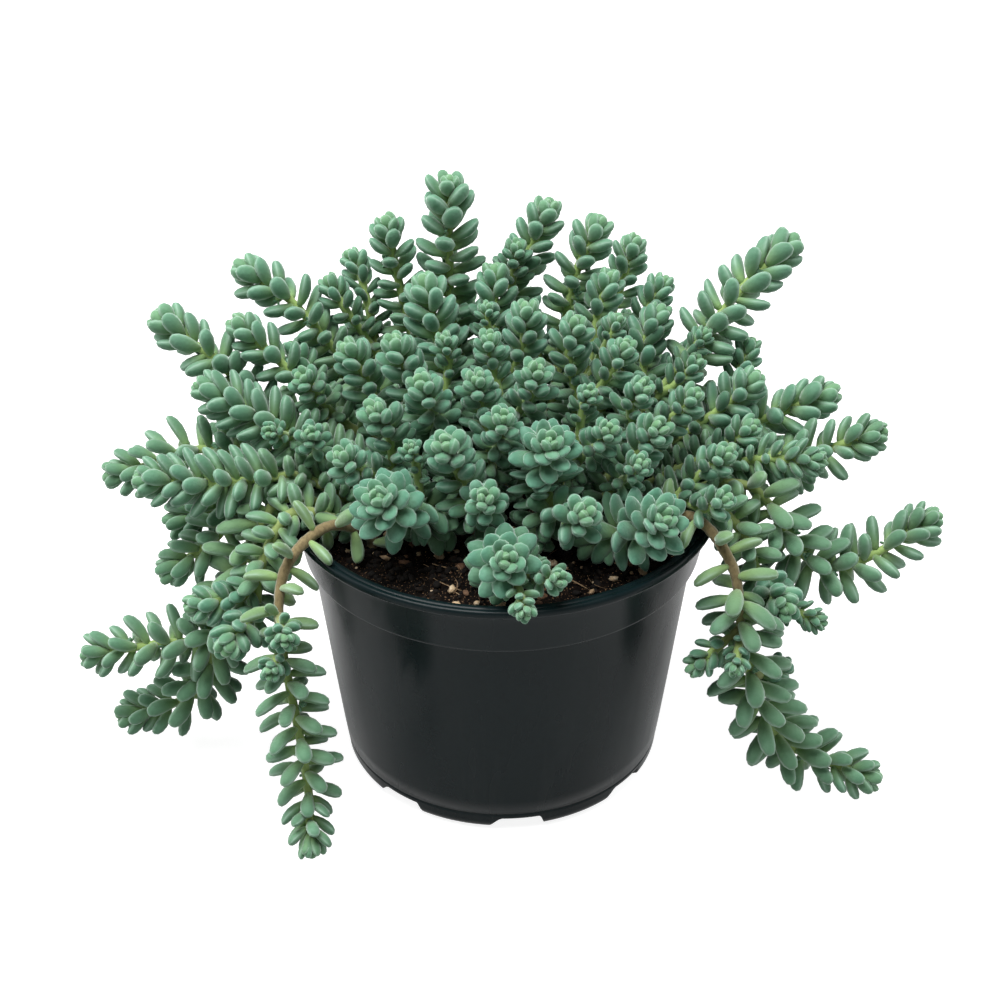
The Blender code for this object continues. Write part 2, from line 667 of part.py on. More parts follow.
def free_leaf(room, owner, branch, slot):
    ring, side, lean, twist, length, width = slot
    for scale in (1.0, 0.88, 0.76):
        for raised in (0.0, 0.2, 0.4):
            for turn in (0.0, 0.2, -0.2, 0.4, -0.4):
                trial = (ring, side, max(lean - raised, 0.3), twist + turn, length * scale, width * (0.4 + 0.6 * scale))
                leaf = leaf_frame(branch, trial)
                centre, direction, _, reach, width_now = leaf
                if room.is_free(*leaf_balls(centre, direction, reach, width_now), owner):
                    return leaf
    return None


def build_branch(name, branch):
    """One closed solid: a tube through the rings, with each leaf raised from its side of the tube."""
    solid = bmesh.new()
    rings = [[solid.verts.new(corner) for corner in ring] for ring in branch["corners"]]
    tip = solid.verts.new(branch["tip"])
    solid.faces.new(rings[0][::-1])
    leaves = {(ring, side): leaf for ring, side, leaf in branch["leaves"]}
    for index, (ring, next_ring) in enumerate(zip(rings, rings[1:])):
        for side in range(STEM_SIDES):
            following = (side + 1) % STEM_SIDES
            base = [ring[side], ring[following], next_ring[following], next_ring[side]]
            if (index, side) in leaves:
                raise_leaf(solid, base, leaves[(index, side)])
            else:
                solid.faces.new(base)
    for side in range(STEM_SIDES):
        solid.faces.new((rings[-1][side], rings[-1][(side + 1) % STEM_SIDES], tip))
    bmesh.ops.triangulate(solid, faces=solid.faces)
    return object_from_bmesh(name, solid)


def raise_leaf(solid, base, leaf):
    """A plump leaf on four base corners: out to its widest section, then to a short blunt end."""
    centre, direction, breadth, reach, width = leaf
    height = direction.cross(breadth)
    middle = centre + direction * reach * LEAF_WIDEST
    half_width = width * 0.42
    half_height = width * 0.42 * LEAF_THICKNESS_RATIO
    if (base[3].co - base[0].co).dot(height) < 0:
        height = -height
    if (base[1].co - base[0].co).dot(breadth) < 0:
        breadth = -breadth
    section = []
    for across, up in ((-1, -1), (1, -1), (1, 1), (-1, 1)):
        section.append(solid.verts.new(middle + breadth * across * half_width + height * up * half_height))
    tip = solid.verts.new(centre + direction * reach)
    for corner in range(4):
        following = (corner + 1) % 4
        solid.faces.new((base[corner], base[following], section[following], section[corner]))
        solid.faces.new((section[corner], section[following], tip))


def build_plant(stems, material):
    for name, branches in stems:
        node = build_branch(name, branches[0])
        parts = []
        for number, branch in enumerate(branches[1:]):
            parts.append(build_branch(f"branch_{number}", branch))
        if parts:
            join_solids(node, parts, "UNION")
            keep_largest_shell(node)
        finish(node, material)


def main():
    clear_scene()
    stems, holes = plan_stems()
    place_leaves(stems)
    build_pot()
    build_soil(holes)
    build_plant(stems, make_material("blue_green_leaf", (0.13, 0.29, 0.21), 0.5))


main()
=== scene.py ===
import json
import math

import bmesh
import bpy
import numpy as np
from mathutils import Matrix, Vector

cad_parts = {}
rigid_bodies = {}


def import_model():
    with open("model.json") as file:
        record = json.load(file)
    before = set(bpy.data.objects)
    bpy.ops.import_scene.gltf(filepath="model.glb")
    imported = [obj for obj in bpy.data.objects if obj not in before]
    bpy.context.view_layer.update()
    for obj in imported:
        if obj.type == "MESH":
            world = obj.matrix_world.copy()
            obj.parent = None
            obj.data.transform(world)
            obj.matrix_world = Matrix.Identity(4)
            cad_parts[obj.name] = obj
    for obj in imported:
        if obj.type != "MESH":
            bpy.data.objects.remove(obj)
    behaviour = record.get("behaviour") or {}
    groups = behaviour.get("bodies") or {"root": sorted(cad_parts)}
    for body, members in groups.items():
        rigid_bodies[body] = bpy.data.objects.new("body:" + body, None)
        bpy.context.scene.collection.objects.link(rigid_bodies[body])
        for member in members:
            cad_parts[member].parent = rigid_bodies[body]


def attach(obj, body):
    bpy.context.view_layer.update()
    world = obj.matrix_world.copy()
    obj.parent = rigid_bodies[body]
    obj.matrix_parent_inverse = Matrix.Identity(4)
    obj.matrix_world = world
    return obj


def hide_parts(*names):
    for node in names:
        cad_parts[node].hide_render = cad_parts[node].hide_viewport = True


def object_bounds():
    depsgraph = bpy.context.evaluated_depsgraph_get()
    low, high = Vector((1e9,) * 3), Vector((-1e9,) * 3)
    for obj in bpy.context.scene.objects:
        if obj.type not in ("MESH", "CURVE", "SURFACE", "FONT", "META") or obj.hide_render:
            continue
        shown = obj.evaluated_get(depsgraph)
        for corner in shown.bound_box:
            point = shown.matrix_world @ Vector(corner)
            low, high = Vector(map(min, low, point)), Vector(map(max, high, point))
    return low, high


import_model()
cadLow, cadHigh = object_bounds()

mm = 0.001
goldenTurn = math.radians(137.508)
picture = 1000.0    # the photograph's width and height

# Settings of the view and the light; lengths in metres
view = {
    "target": (0.0, 0.0, 0.081),
    "elevation": 32.0,
    "distance": 0.513,
    "focal": 1953.0,
    "centreX": 502.0,
    "centreY": 486.3,
    "sensor": 36.0,
    "clip": (0.01, 20.0),
}
light = {
    "surround": 0.230,
    "mirrored": 0.50,
    "topSize": 0.8,
    "topPower": 15.0,
    "topPlace": (-0.18, -0.10, 0.95),
    "sideSize": 0.7,
    "sidePower": 4.5,
    "sidePlace": (0.85, 0.25, 0.40),
    "floor": (0.42, 0.42, 0.42),
    "floorGlow": 0.88,
    "floorMirrored": 0.55,
    "floorHalf": 6.0,
    "floorDrop": 0.0001,
}


# Small helpers for meshes: points are in millimetres, faces point outwards

def addObject(name, data):
    thing = bpy.data.objects.new(name, data)
    bpy.context.scene.collection.objects.link(thing)
    return thing


def makePiece(name, points, quads, tris, material, values=None, stands=()):
    # a smooth piece of one material; values go on its points, and stands names the frame's nodes it takes over
    mesh = bpy.data.meshes.new(name)
    mesh.from_pydata((points * mm).tolist(), [], quads.tolist() + tris.tolist())
    for label, numbers in (values or {}).items():
        mesh.attributes.new(label, "FLOAT", "POINT").data.foreach_set("value", np.asarray(numbers, np.float32))
    mesh.materials.append(material)
    mesh.shade_smooth()
    piece = addObject(name, mesh)
    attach(piece, "root")
    if stands:
        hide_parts(*stands)
    return piece


def tubeFaces(rings, sides, copies=1):
    # faces of a closed tube: rings of points, then one pole point before and one after, for each copy
    ring, side = np.meshgrid(np.arange(rings - 1), np.arange(sides), indexing="ij")
    after = (side + 1) % sides
    quads = np.stack([ring * sides + side, ring * sides + after,
                      (ring + 1) * sides + after, (ring + 1) * sides + side], -1).reshape(-1, 4)
    around = np.arange(sides)
    after = (around + 1) % sides
    last = (rings - 1) * sides
    first = np.full(sides, rings * sides)
    tris = np.concatenate([np.stack([first, after, around], -1),
                           np.stack([last + around, last + after, first + 1], -1)])
    step = (np.arange(copies) * (rings * sides + 2))[:, None, None]
    return (quads[None] + step).reshape(-1, 4), (tris[None] + step).reshape(-1, 3)


def unit(vectors):
    # each vector over its own length
    return vectors / np.maximum(np.linalg.norm(vectors, axis=-1, keepdims=True), 1e-9)


def smooth(x):
    # 3 x squared less 2 x cubed, with x held from 0 to 1
    x = np.clip(x, 0.0, 1.0)
    return x * x * (3.0 - 2.0 * x)


def latticeNoise(x, y, seed):
    # smooth random heights from -1 to 1: random values on whole numbers, blended between them
    cells = 64
    table = np.random.default_rng(seed).uniform(-1.0, 1.0, (cells, cells))
    column, row = np.floor(x).astype(int), np.floor(y).astype(int)
    u, v = smooth(x - column), smooth(y - row)
    left, right = column % cells, (column + 1) % cells
    lower, upper = row % cells, (row + 1) % cells
    near = table[left, lower] * (1 - u) + table[right, lower] * u
    far = table[left, upper] * (1 - u) + table[right, upper] * u
    return near * (1 - v) + far * v


# Small helpers for materials: a value is a plain number or colour, or the socket that gives it

def setInput(tree, socket, value):
    if isinstance(value, bpy.types.NodeSocket):
        tree.links.new(value, socket)
    else:
        socket.default_value = value


def addNode(tree, kind, inputs=None, **settings):
    node = tree.nodes.new(kind)
    for label, value in settings.items():
        setattr(node, label, value)
    for label, value in (inputs or {}).items():
        setInput(tree, node.inputs[label], value)
    return node


def mixColours(tree, factor, first, second):
    # the first colour at factor 0, the second at factor 1
    node = addNode(tree, "ShaderNodeMix", data_type="RGBA")
    for index, value in ((0, factor), (6, first), (7, second)):
        setInput(tree, node.inputs[index], (*value, 1.0) if isinstance(value, tuple) else value)
    return node.outputs[2]


def doMath(tree, operation, first, second):
    node = addNode(tree, "ShaderNodeMath", operation=operation)
    for index, value in enumerate((first, second)):
        setInput(tree, node.inputs[index], value)
    return node.outputs[0]


def times(tree, first, second):
    return doMath(tree, "MULTIPLY", first, second)


def spread(tree, value, low, high, newLow=0.0, newHigh=1.0):
    # low to high becomes newLow to newHigh, and is held at both ends
    return addNode(tree, "ShaderNodeMapRange", {"Value": value, "From Min": low, "From Max": high,
                                                "To Min": newLow, "To Max": newHigh}).outputs["Result"]


def pointOf(tree, stretch=(1.0, 1.0, 1.0)):
    place = addNode(tree, "ShaderNodeTexCoord").outputs["Object"]
    return addNode(tree, "ShaderNodeMapping", {"Vector": place, "Scale": stretch}).outputs["Vector"]


def noiseOf(tree, point, scale, detail=3.0, rough=0.5):
    return addNode(tree, "ShaderNodeTexNoise", {"Vector": point, "Scale": scale, "Detail": detail,
                                                "Roughness": rough}).outputs["Fac"]


def valueOf(tree, label):
    return addNode(tree, "ShaderNodeAttribute", attribute_name=label, attribute_type="GEOMETRY").outputs["Fac"]


def bumpOf(tree, height, distance, strength=1.0):
    return addNode(tree, "ShaderNodeBump", {"Height": height, "Distance": distance,
                                            "Strength": strength}).outputs["Normal"]


def newMaterial(name, roughness, ior=1.45, specular=0.5, sheen=0.0, sheenTint=(1.0, 1.0, 1.0), sheenRoughness=0.5):
    material = bpy.data.materials.new(name)
    material.use_nodes = True
    shader = material.node_tree.nodes["Principled BSDF"]
    settings = {"Roughness": roughness, "IOR": ior, "Specular IOR Level": specular, "Sheen Weight": sheen,
                "Sheen Roughness": sheenRoughness, "Sheen Tint": (*sheenTint, 1.0)}
    for label, value in settings.items():
        shader.inputs[label].default_value = value
    return material, material.node_tree, shader


def newGroup(name, inputs, outputs):
    # inputs as label, kind of socket and first value; outputs as label and kind of socket
    tree = bpy.data.node_groups.new(name, "ShaderNodeTree")
    for label, kind, value in inputs:
        tree.interface.new_socket(label, in_out="INPUT", socket_type=kind).default_value = value
    for label, kind in outputs:
        tree.interface.new_socket(label, in_out="OUTPUT", socket_type=kind)
    return tree, tree.nodes.new("NodeGroupInput").outputs, tree.nodes.new("NodeGroupOutput").inputs


def useGroup(tree, group, inputs):
    return addNode(tree, "ShaderNodeGroup", node_tree=group, inputs=inputs).outputs


# Effects that several materials share

def makeMottleGroup():
    # two sizes of noise pull a colour towards a lighter and a darker one
    tree, given, out = newGroup("mottle", [
        ("Colour", "NodeSocketColor", (0.5, 0.5, 0.5, 1.0)), ("Light", "NodeSocketColor", (0.8, 0.8, 0.8, 1.0)),
        ("Dark", "NodeSocketColor", (0.1, 0.1, 0.1, 1.0)), ("Coarse", "NodeSocketFloat", 200.0),
        ("Fine", "NodeSocketFloat", 1200.0), ("Amount", "NodeSocketFloat", 0.5)],
        [("Colour", "NodeSocketColor"), ("Mask", "NodeSocketFloat")])
    point = pointOf(tree)
    coarse = noiseOf(tree, point, given["Coarse"], 2.0)
    fine = noiseOf(tree, point, given["Fine"], 3.0)
    lightMask = times(tree, spread(tree, coarse, 0.48, 0.72), given["Amount"])
    darkMask = times(tree, spread(tree, fine, 0.50, 0.75), given["Amount"])
    colour = mixColours(tree, lightMask, given["Colour"], given["Light"])
    colour = mixColours(tree, darkMask, colour, given["Dark"])
    tree.links.new(colour, out["Colour"])
    tree.links.new(coarse, out["Mask"])
    return tree


def makeGrainGroup():
    # a bump from two sizes of noise, the fine one added at about a third
    tree, given, out = newGroup("grain", [
        ("Coarse", "NodeSocketFloat", 900.0), ("Fine", "NodeSocketFloat", 3500.0),
        ("Depth", "NodeSocketFloat", 0.0001)], [("Normal", "NodeSocketVector")])
    point = pointOf(tree)
    coarse = noiseOf(tree, point, given["Coarse"], 2.0)
    fine = noiseOf(tree, point, given["Fine"], 1.0)
    height = doMath(tree, "ADD", coarse, times(tree, fine, 0.35))
    tree.links.new(bumpOf(tree, height, given["Depth"]), out["Normal"])
    return tree


def mottled(tree, colours, coarse, fine, amount):
    # colours as the plain one, the lighter one and the darker one
    colour, light, dark = ((*colour, 1.0) for colour in colours)
    return useGroup(tree, mottleGroup, {"Colour": colour, "Light": light, "Dark": dark, "Coarse": coarse,
                                        "Fine": fine, "Amount": amount})


def addGrain(tree, shader, coarse, fine, depth):
    grain = useGroup(tree, grainGroup, {"Coarse": coarse, "Fine": fine, "Depth": depth})
    tree.links.new(grain["Normal"], shader.inputs["Normal"])


mottleGroup = makeMottleGroup()
grainGroup = makeGrainGroup()
print("shared effects made")


# Plant skin: one material for leaves and stems, steered by values kept on the mesh

plantLook = {
    "blue": (0.080, 0.232, 0.154),
    "deep": (0.056, 0.152, 0.098),
    "bloom": (0.212, 0.396, 0.306),
    "young": (0.160, 0.320, 0.150),
    "old": (0.155, 0.270, 0.116),
    # the leaf bases' own yellow-green, made lighter as painted light shining through them
    "root": (0.290, 0.430, 0.140),
    # painted shade for leaves deep in the plant
    "shade": (0.030, 0.085, 0.036),
    # painted sheen: the pale rim along each leaf's side edges
    "edge": (0.430, 0.610, 0.490),
    "greenStem": (0.270, 0.390, 0.120),
    "brownStem": (0.225, 0.172, 0.084),
    "brownDark": (0.140, 0.105, 0.052),
}


def makePlantMaterial():
    # a mottled blue leaf, pulled towards each other colour in turn by what the mesh says of the place
    material, tree, shader = newMaterial("sedumSkin", 0.6, ior=1.42, specular=0.30, sheen=0.55,
                                         sheenTint=(0.86, 0.96, 0.90), sheenRoughness=0.45)
    look = plantLook
    mottle = mottled(tree, (look["blue"], look["bloom"], look["deep"]), 260.0, 900.0, 0.42)
    # the yellow-green leaf base: its own colour, lightened as painted light shining through the leaf
    base = doMath(tree, "POWER", doMath(tree, "SUBTRACT", 1.0, valueOf(tree, "reach")), 2.4)
    # painted sheen: a pale rim on each leaf's two side edges, where the waxy bloom would catch grazing light
    edge = doMath(tree, "POWER", valueOf(tree, "edge"), 2.5)
    bark = valueOf(tree, "bark")
    colour = mottle["Colour"]
    # the last mix lays painted shade on the leaves deep in the plant
    for value, share, label in ((valueOf(tree, "tint"), 0.55, "deep"), (valueOf(tree, "old"), 0.8, "old"),
                                (valueOf(tree, "young"), 0.75, "young"), (base, 0.8, "root"), (edge, 0.50, "edge"),
                                (valueOf(tree, "shade"), 0.62, "shade")):
        colour = mixColours(tree, times(tree, value, share), colour, look[label])
    streak = noiseOf(tree, pointOf(tree, (1.0, 1.0, 0.35)), 1400.0, 3.0, 0.6)
    brown = mixColours(tree, spread(tree, streak, 0.4, 0.7), look["brownStem"], look["brownDark"])
    stem = mixColours(tree, bark, look["greenStem"], brown)
    colour = mixColours(tree, valueOf(tree, "stem"), colour, stem)
    tree.links.new(colour, shader.inputs["Base Color"])
    rough = doMath(tree, "ADD", spread(tree, mottle["Mask"], 0.3, 0.7, 0.54, 0.68), times(tree, bark, 0.25))
    tree.links.new(rough, shader.inputs["Roughness"])
    addGrain(tree, shader, 1500.0, 5200.0, 0.00012)
    return material


# Pot

potSizes = {
    "sides": 192,
    "notches": 8,
    "notchTurn": -85.4,
    "notchWidth": 16.4,
    "notchSlopes": (5.0, 2.0),
    "notchHeight": 4.4,
    "footRadius": 41.0,
    "drains": 4,
    "drainRadius": 4.5,
    "drainCircle": 24.0,
    "drainSides": 24,
    "drainEnds": (3.5, 8.0),
    "slopeSteps": 7,
    "turnGap": 0.006,
    "sharpAngle": 50.0,
    "mergeGap": 1e-6,
    # the plastic's own near-black, plain, lighter and darker, tinted teal as painted green reflection from the leaves
    "blacks": ((0.0030, 0.0088, 0.0100), (0.0060, 0.0125, 0.0140), (0.0016, 0.0058, 0.0066)),
    "dust": (0.045, 0.050, 0.048),
}

# closed outline of the wall as radius and height, from the foot up the outside and down the inside
potOutline = [
    (38.75, 0.0), (40.5, 0.0), (41.05, 0.12), (41.5, 0.45), (42.5, 1.25), (43.0, 1.95), (43.3, 2.6), (43.42, 3.4),
    (43.58, 5.0), (43.68, 5.75), (43.56, 5.90), (43.58, 6.05), (43.76, 6.20), (44.4, 11.0),
    (46.2, 26.0), (48.4, 45.0), (50.2, 60.0),
    (50.9, 65.2), (51.0, 65.75), (51.25, 65.95), (52.0, 66.0), (52.35, 66.05), (52.62, 66.3), (52.72, 66.8),
    (53.6, 71.2), (54.6, 75.8), (55.2, 78.2), (55.35, 78.6), (55.6, 78.8), (56.4, 78.88), (56.82, 79.05),
    (56.98, 79.4), (57.0, 80.0), (56.93, 80.45), (56.72, 80.8), (56.35, 80.97), (55.75, 81.0), (55.5, 80.9),
    (55.3, 80.78), (55.1, 80.9), (54.85, 81.0), (54.2, 80.98), (53.85, 80.85), (53.6, 80.5), (53.45, 79.8),
    (52.9, 76.4), (52.1, 71.4), (51.35, 66.9), (51.2, 66.4), (50.3, 65.5), (49.8, 64.9), (49.6, 64.0),
    (47.0, 43.0), (44.2, 20.0), (42.6, 7.6), (42.3, 6.9), (41.7, 6.4), (30.0, 6.4), (14.0, 6.4), (0.0, 6.4),
    (0.0, 5.0), (14.0, 5.0), (30.0, 5.0), (37.9, 5.0), (38.3, 4.9), (38.45, 4.6), (38.45, 0.3),
]


def makePotMaterial():
    # dark plastic, its teal tint a painted green reflection from the leaves, with dust, low waves of the moulding and
    # a fine grain
    material, tree, shader = newMaterial("blackPlastic", 0.3, ior=1.46, specular=0.14)
    mottle = mottled(tree, potSizes["blacks"], 28.0, 420.0, 0.5)
    # dust lies in faint upright streaks and thickens towards the foot
    streak = noiseOf(tree, pointOf(tree, (1.0, 1.0, 0.06)), 120.0, 4.0, 0.6)
    height = addNode(tree, "ShaderNodeSeparateXYZ", {"Vector": pointOf(tree)}).outputs["Z"]
    low = spread(tree, height, 0.045, 0.0, 0.06, 0.30)
    dust = times(tree, spread(tree, streak, 0.52, 0.80), low)
    colour = mixColours(tree, dust, mottle["Colour"], potSizes["dust"])
    tree.links.new(colour, shader.inputs["Base Color"])
    cloud = noiseOf(tree, pointOf(tree, (1.0, 1.0, 0.3)), 45.0, 4.0, 0.55)
    rough = doMath(tree, "ADD", spread(tree, cloud, 0.35, 0.7, 0.20, 0.34), times(tree, dust, 0.35))
    tree.links.new(rough, shader.inputs["Roughness"])
    # very low waves of the moulding, drawn out upwards, with a fine grain on them
    wave = noiseOf(tree, pointOf(tree, (1.0, 1.0, 0.25)), 60.0, 2.0, 0.4)
    fine = noiseOf(tree, pointOf(tree), 2600.0, 2.0, 0.5)
    height = doMath(tree, "ADD", wave, times(tree, fine, 0.012))
    tree.links.new(bumpOf(tree, height, 0.0006, 0.55), shader.inputs["Normal"])
    return material


def potAngles():
    # even turns, plus some close together on both slopes of each notch, where the foot rises in a smooth step
    sizes = potSizes
    even = np.linspace(-math.pi, math.pi, sizes["sides"], endpoint=False)
    middles = math.radians(sizes["notchTurn"]) + 2 * math.pi * np.arange(sizes["notches"]) / sizes["notches"]
    half = 0.5 * sizes["notchWidth"] / sizes["footRadius"]
    slopes = np.array(sizes["notchSlopes"]) / sizes["footRadius"]
    extra = np.concatenate([middles + side * (half - part * slope) for side, slope in zip((-1, 1), slopes)
                            for part in np.linspace(0.0, 1.0, sizes["slopeSteps"])])
    extra = (extra + math.pi) % (2 * math.pi) - math.pi
    apart = np.abs(even[:, None] - extra[None]).min(1) > sizes["turnGap"]
    angles = np.sort(np.concatenate([even[apart], extra]))
    away = (angles[:, None] - middles[None] + math.pi) % (2 * math.pi) - math.pi
    slope = np.where(away < 0, slopes[0], slopes[1])
    lift = sizes["notchHeight"] * smooth((half - np.abs(away)) / slope).max(1)
    return angles, lift


def buildPot(material):
    # the outline carried round the upright axis; at the notches the foot's lowest points are lifted
    angles, lift = potAngles()
    radius, height = np.array(potOutline).T
    z = np.maximum(height[:, None], lift[None])
    x = radius[:, None] * np.cos(angles)[None]
    y = radius[:, None] * np.sin(angles)[None]
    points = np.stack([x, y, z], -1).reshape(-1, 3)
    rows, columns = len(radius), len(angles)
    row, column = np.meshgrid(np.arange(rows), np.arange(columns), indexing="ij")
    after = (column + 1) % columns
    below = (row + 1) % rows
    quads = np.stack([row * columns + column, row * columns + after,
                      below * columns + after, below * columns + column], -1).reshape(-1, 4)
    pot = makePiece("nursery_pot", points, quads, np.zeros((0, 3), int), material,
                    stands=("pot",))
    mergePoints(pot)
    cutDrains(pot)
    pot.data.set_sharp_from_angle(angle=math.radians(potSizes["sharpAngle"]))


def mergePoints(piece):
    # join points that lie together, drop the faces that shrink away, and turn the rest outwards
    solid = bmesh.new()
    solid.from_mesh(piece.data)
    bmesh.ops.remove_doubles(solid, verts=solid.verts, dist=potSizes["mergeGap"])
    bmesh.ops.dissolve_degenerate(solid, edges=solid.edges, dist=0.1 * potSizes["mergeGap"])
    bmesh.ops.recalc_face_normals(solid, faces=solid.faces)
    solid.to_mesh(piece.data)
    solid.free()


def cutDrains(pot):
    # round holes through the floor, cut by one Boolean of a collection of tubes
    sizes = potSizes
    bag = bpy.data.collections.new("drainTools")
    bpy.context.scene.collection.children.link(bag)
    sides, ends = sizes["drainSides"], sizes["drainEnds"]
    around = 2 * math.pi * np.arange(sides) / sides
    quads, tris = tubeFaces(2, sides)
    for index in range(sizes["drains"]):
        turn = 2 * math.pi * (index + 0.5) / sizes["drains"]
        middle = sizes["drainCircle"] * np.array([math.cos(turn), math.sin(turn)])
        rings = [np.stack([middle[0] + sizes["drainRadius"] * np.cos(around),
                           middle[1] + sizes["drainRadius"] * np.sin(around), np.full(sides, z)], -1)
                 for z in ends]
        poles = np.array([[*middle, z] for z in ends])
        mesh = bpy.data.meshes.new("drainTool")
        mesh.from_pydata((np.concatenate([*rings, poles]) * mm).tolist(), [], quads.tolist() + tris.tolist())
        bag.objects.link(bpy.data.objects.new("drainTool", mesh))
    cut = pot.modifiers.new("drains", "BOOLEAN")
    cut.operation = "DIFFERENCE"
    cut.operand_type = "COLLECTION"
    cut.collection = bag
    cut.solver = "EXACT"
    whole = bpy.data.meshes.new_from_object(pot.evaluated_get(bpy.context.evaluated_depsgraph_get()))
    pot.modifiers.clear()
    pot.data = whole
    for tool in list(bag.objects):
        bpy.data.objects.remove(tool)
    bpy.data.collections.remove(bag)


buildPot(makePotMaterial())
print("pot made")


# Soil and what lies in it

soilSizes = {
    "top": 77.0,
    "sink": 0.35,
    "bottom": 6.7,
    "footRadius": 41.3,
    "wall": ((49.0, 64.6), (50.6, 66.6)),
    "edgeRadius": 52.35,
    "edgeLow": 75.2,
    "edgeDrop": 0.9,
    "edgeStart": 44.0,
    "edgeRun": 8.0,
    "noises": ((9.0, 0.55), (3.1, 0.42), (1.25, 0.30)),    # widths and heights
    "rows": 90,
    "columns": 260,
    "colours": ((0.0020, 0.0015, 0.0013), (0.015, 0.009, 0.006), (0.0018, 0.0014, 0.0012)),
    "specks": (0.300, 0.180, 0.100),
}


def soilHeight(x, y):
    # lumps, clods and crumbs: three sizes of lattice noise, lower towards the wall
    sizes = soilSizes
    lumps, clods, crumbs = (high * latticeNoise(x / wide, y / wide, seed)
                            for seed, (wide, high) in enumerate(sizes["noises"], 1))
    fall = sizes["edgeDrop"] * smooth((np.hypot(x, y) - sizes["edgeStart"]) / sizes["edgeRun"])
    return sizes["top"] - sizes["sink"] + (lumps + clods) + crumbs - fall


def makeSoilMaterial():
    # nearly black, mottled, with scattered brown specks
    material, tree, shader = newMaterial("pottingSoil", 0.95, specular=0.10)
    mottle = mottled(tree, soilSizes["colours"], 700.0, 1800.0, 0.8)
    speck = noiseOf(tree, pointOf(tree), 2300.0, 1.0)
    colour = mixColours(tree, spread(tree, speck, 0.66, 0.71, 0.0, 0.8), mottle["Colour"], soilSizes["specks"])
    tree.links.new(colour, shader.inputs["Base Color"])
    tree.links.new(spread(tree, speck, 0.3, 0.7, 0.80, 1.0), shader.inputs["Roughness"])
    addGrain(tree, shader, 900.0, 3200.0, 0.0006)
    return material


def makeBitMaterial(bits):
    # mottled, and each bit darker by its own tint
    rough = bits["roughness"]
    material, tree, shader = newMaterial(bits["material"], rough, specular=0.3)
    mottle = mottled(tree, bits["colours"], 800.0, 2200.0, 0.7)
    colour = mixColours(tree, times(tree, valueOf(tree, "tint"), 0.6), mottle["Colour"], bits["colours"][2])
    tree.links.new(colour, shader.inputs["Base Color"])
    tree.links.new(spread(tree, mottle["Mask"], 0.3, 0.7, rough - 0.12, rough), shader.inputs["Roughness"])
    addGrain(tree, shader, 1600.0, 5000.0, 0.0003)
    return material


def buildSoil(material):
    # a round sheet of heights, its edge carried down to the pot's floor and closed below
    sizes = soilSizes
    radius = sizes["edgeRadius"] * np.sqrt(np.linspace(0.0, 1.0, sizes["rows"] + 1)[1:])
    turn = 2 * math.pi * np.arange(sizes["columns"]) / sizes["columns"]
    x = radius[::-1, None] * np.cos(turn)[None]
    y = radius[::-1, None] * np.sin(turn)[None]
    top = np.stack([x, y, soilHeight(x, y)], -1)
    rows = [(sizes["footRadius"], sizes["bottom"]), *sizes["wall"], (sizes["edgeRadius"], sizes["edgeLow"])]
    wall = [np.stack([reach * np.cos(turn), reach * np.sin(turn), np.full(len(turn), height)], -1)
            for reach, height in rows]
    rings = np.concatenate([np.array(wall), top])
    poles = np.array([[0.0, 0.0, sizes["bottom"]], [0.0, 0.0, float(soilHeight(np.zeros(1), np.zeros(1))[0])]])
    points = np.concatenate([rings.reshape(-1, 3), poles])
    quads, tris = tubeFaces(len(rings), sizes["columns"])
    makePiece("soil_bed", points, quads, tris, material, stands=("soil",))


def turnAbout(shape, lean, spin):
    # lean about X, then spin about Z, for every shape in the stack
    x, y, z = shape[..., 0], shape[..., 1], shape[..., 2]
    lean, spin = lean[:, None], spin[:, None]
    y, z = y * np.cos(lean) - z * np.sin(lean), y * np.sin(lean) + z * np.cos(lean)
    x, y = x * np.cos(spin) - y * np.sin(spin), x * np.sin(spin) + y * np.cos(spin)
    return np.stack([x, y, z], -1)


def placesOnSoil(random, count, limit):
    # evenly over a disc: the distance goes with the square root of a random share
    reach = limit * np.sqrt(random.uniform(0.0, 1.0, count))
    way = random.uniform(0, 2 * math.pi, count)
    return reach * np.cos(way), reach * np.sin(way)


# colours are the plain one, the lighter one and the darker one; rise is in half sizes
crumbBits = {
    "name": "soil_crumbs",
    "material": "soilCrumb",
    "colours": ((0.0045, 0.0031, 0.0023), (0.036, 0.021, 0.012), (0.0020, 0.0015, 0.0012)),
    "roughness": 0.95,
    "count": 1500,
    "seed": 11,
    "size": (0.6, 2.2),
    "flat": 0.75,
    "ragged": 0.22,
    "rise": 0.3,
}
gritBits = {
    "name": "soil_grit",
    "material": "paleGrit",
    "colours": ((0.52, 0.39, 0.24), (0.84, 0.76, 0.60), (0.22, 0.12, 0.06)),
    "roughness": 0.85,
    "count": 230,
    "seed": 12,
    "size": (0.5, 2.6),
    "flat": 0.66,
    "ragged": 0.34,
    "rise": 0.5,
}
chipBits = {
    "name": "soil_bark_chips",
    "material": "barkChip",
    "colours": ((0.170, 0.090, 0.050), (0.420, 0.260, 0.150), (0.050, 0.028, 0.018)),
    "roughness": 0.85,
    "count": 85,
    "seed": 13,
    "size": (1.2, 3.4),
    "flat": 0.4,
    "ragged": 0.25,
    "rise": 0.5,
}
bitShape = {
    "rings": 4,
    "sides": 7,
    "ends": (0.18, 0.82),
    "long": (0.8, 1.5),
    "wide": (0.6, 1.0),
    "high": (0.7, 1.2),
    "lean": 0.5,
    "limit": 51.0,
}


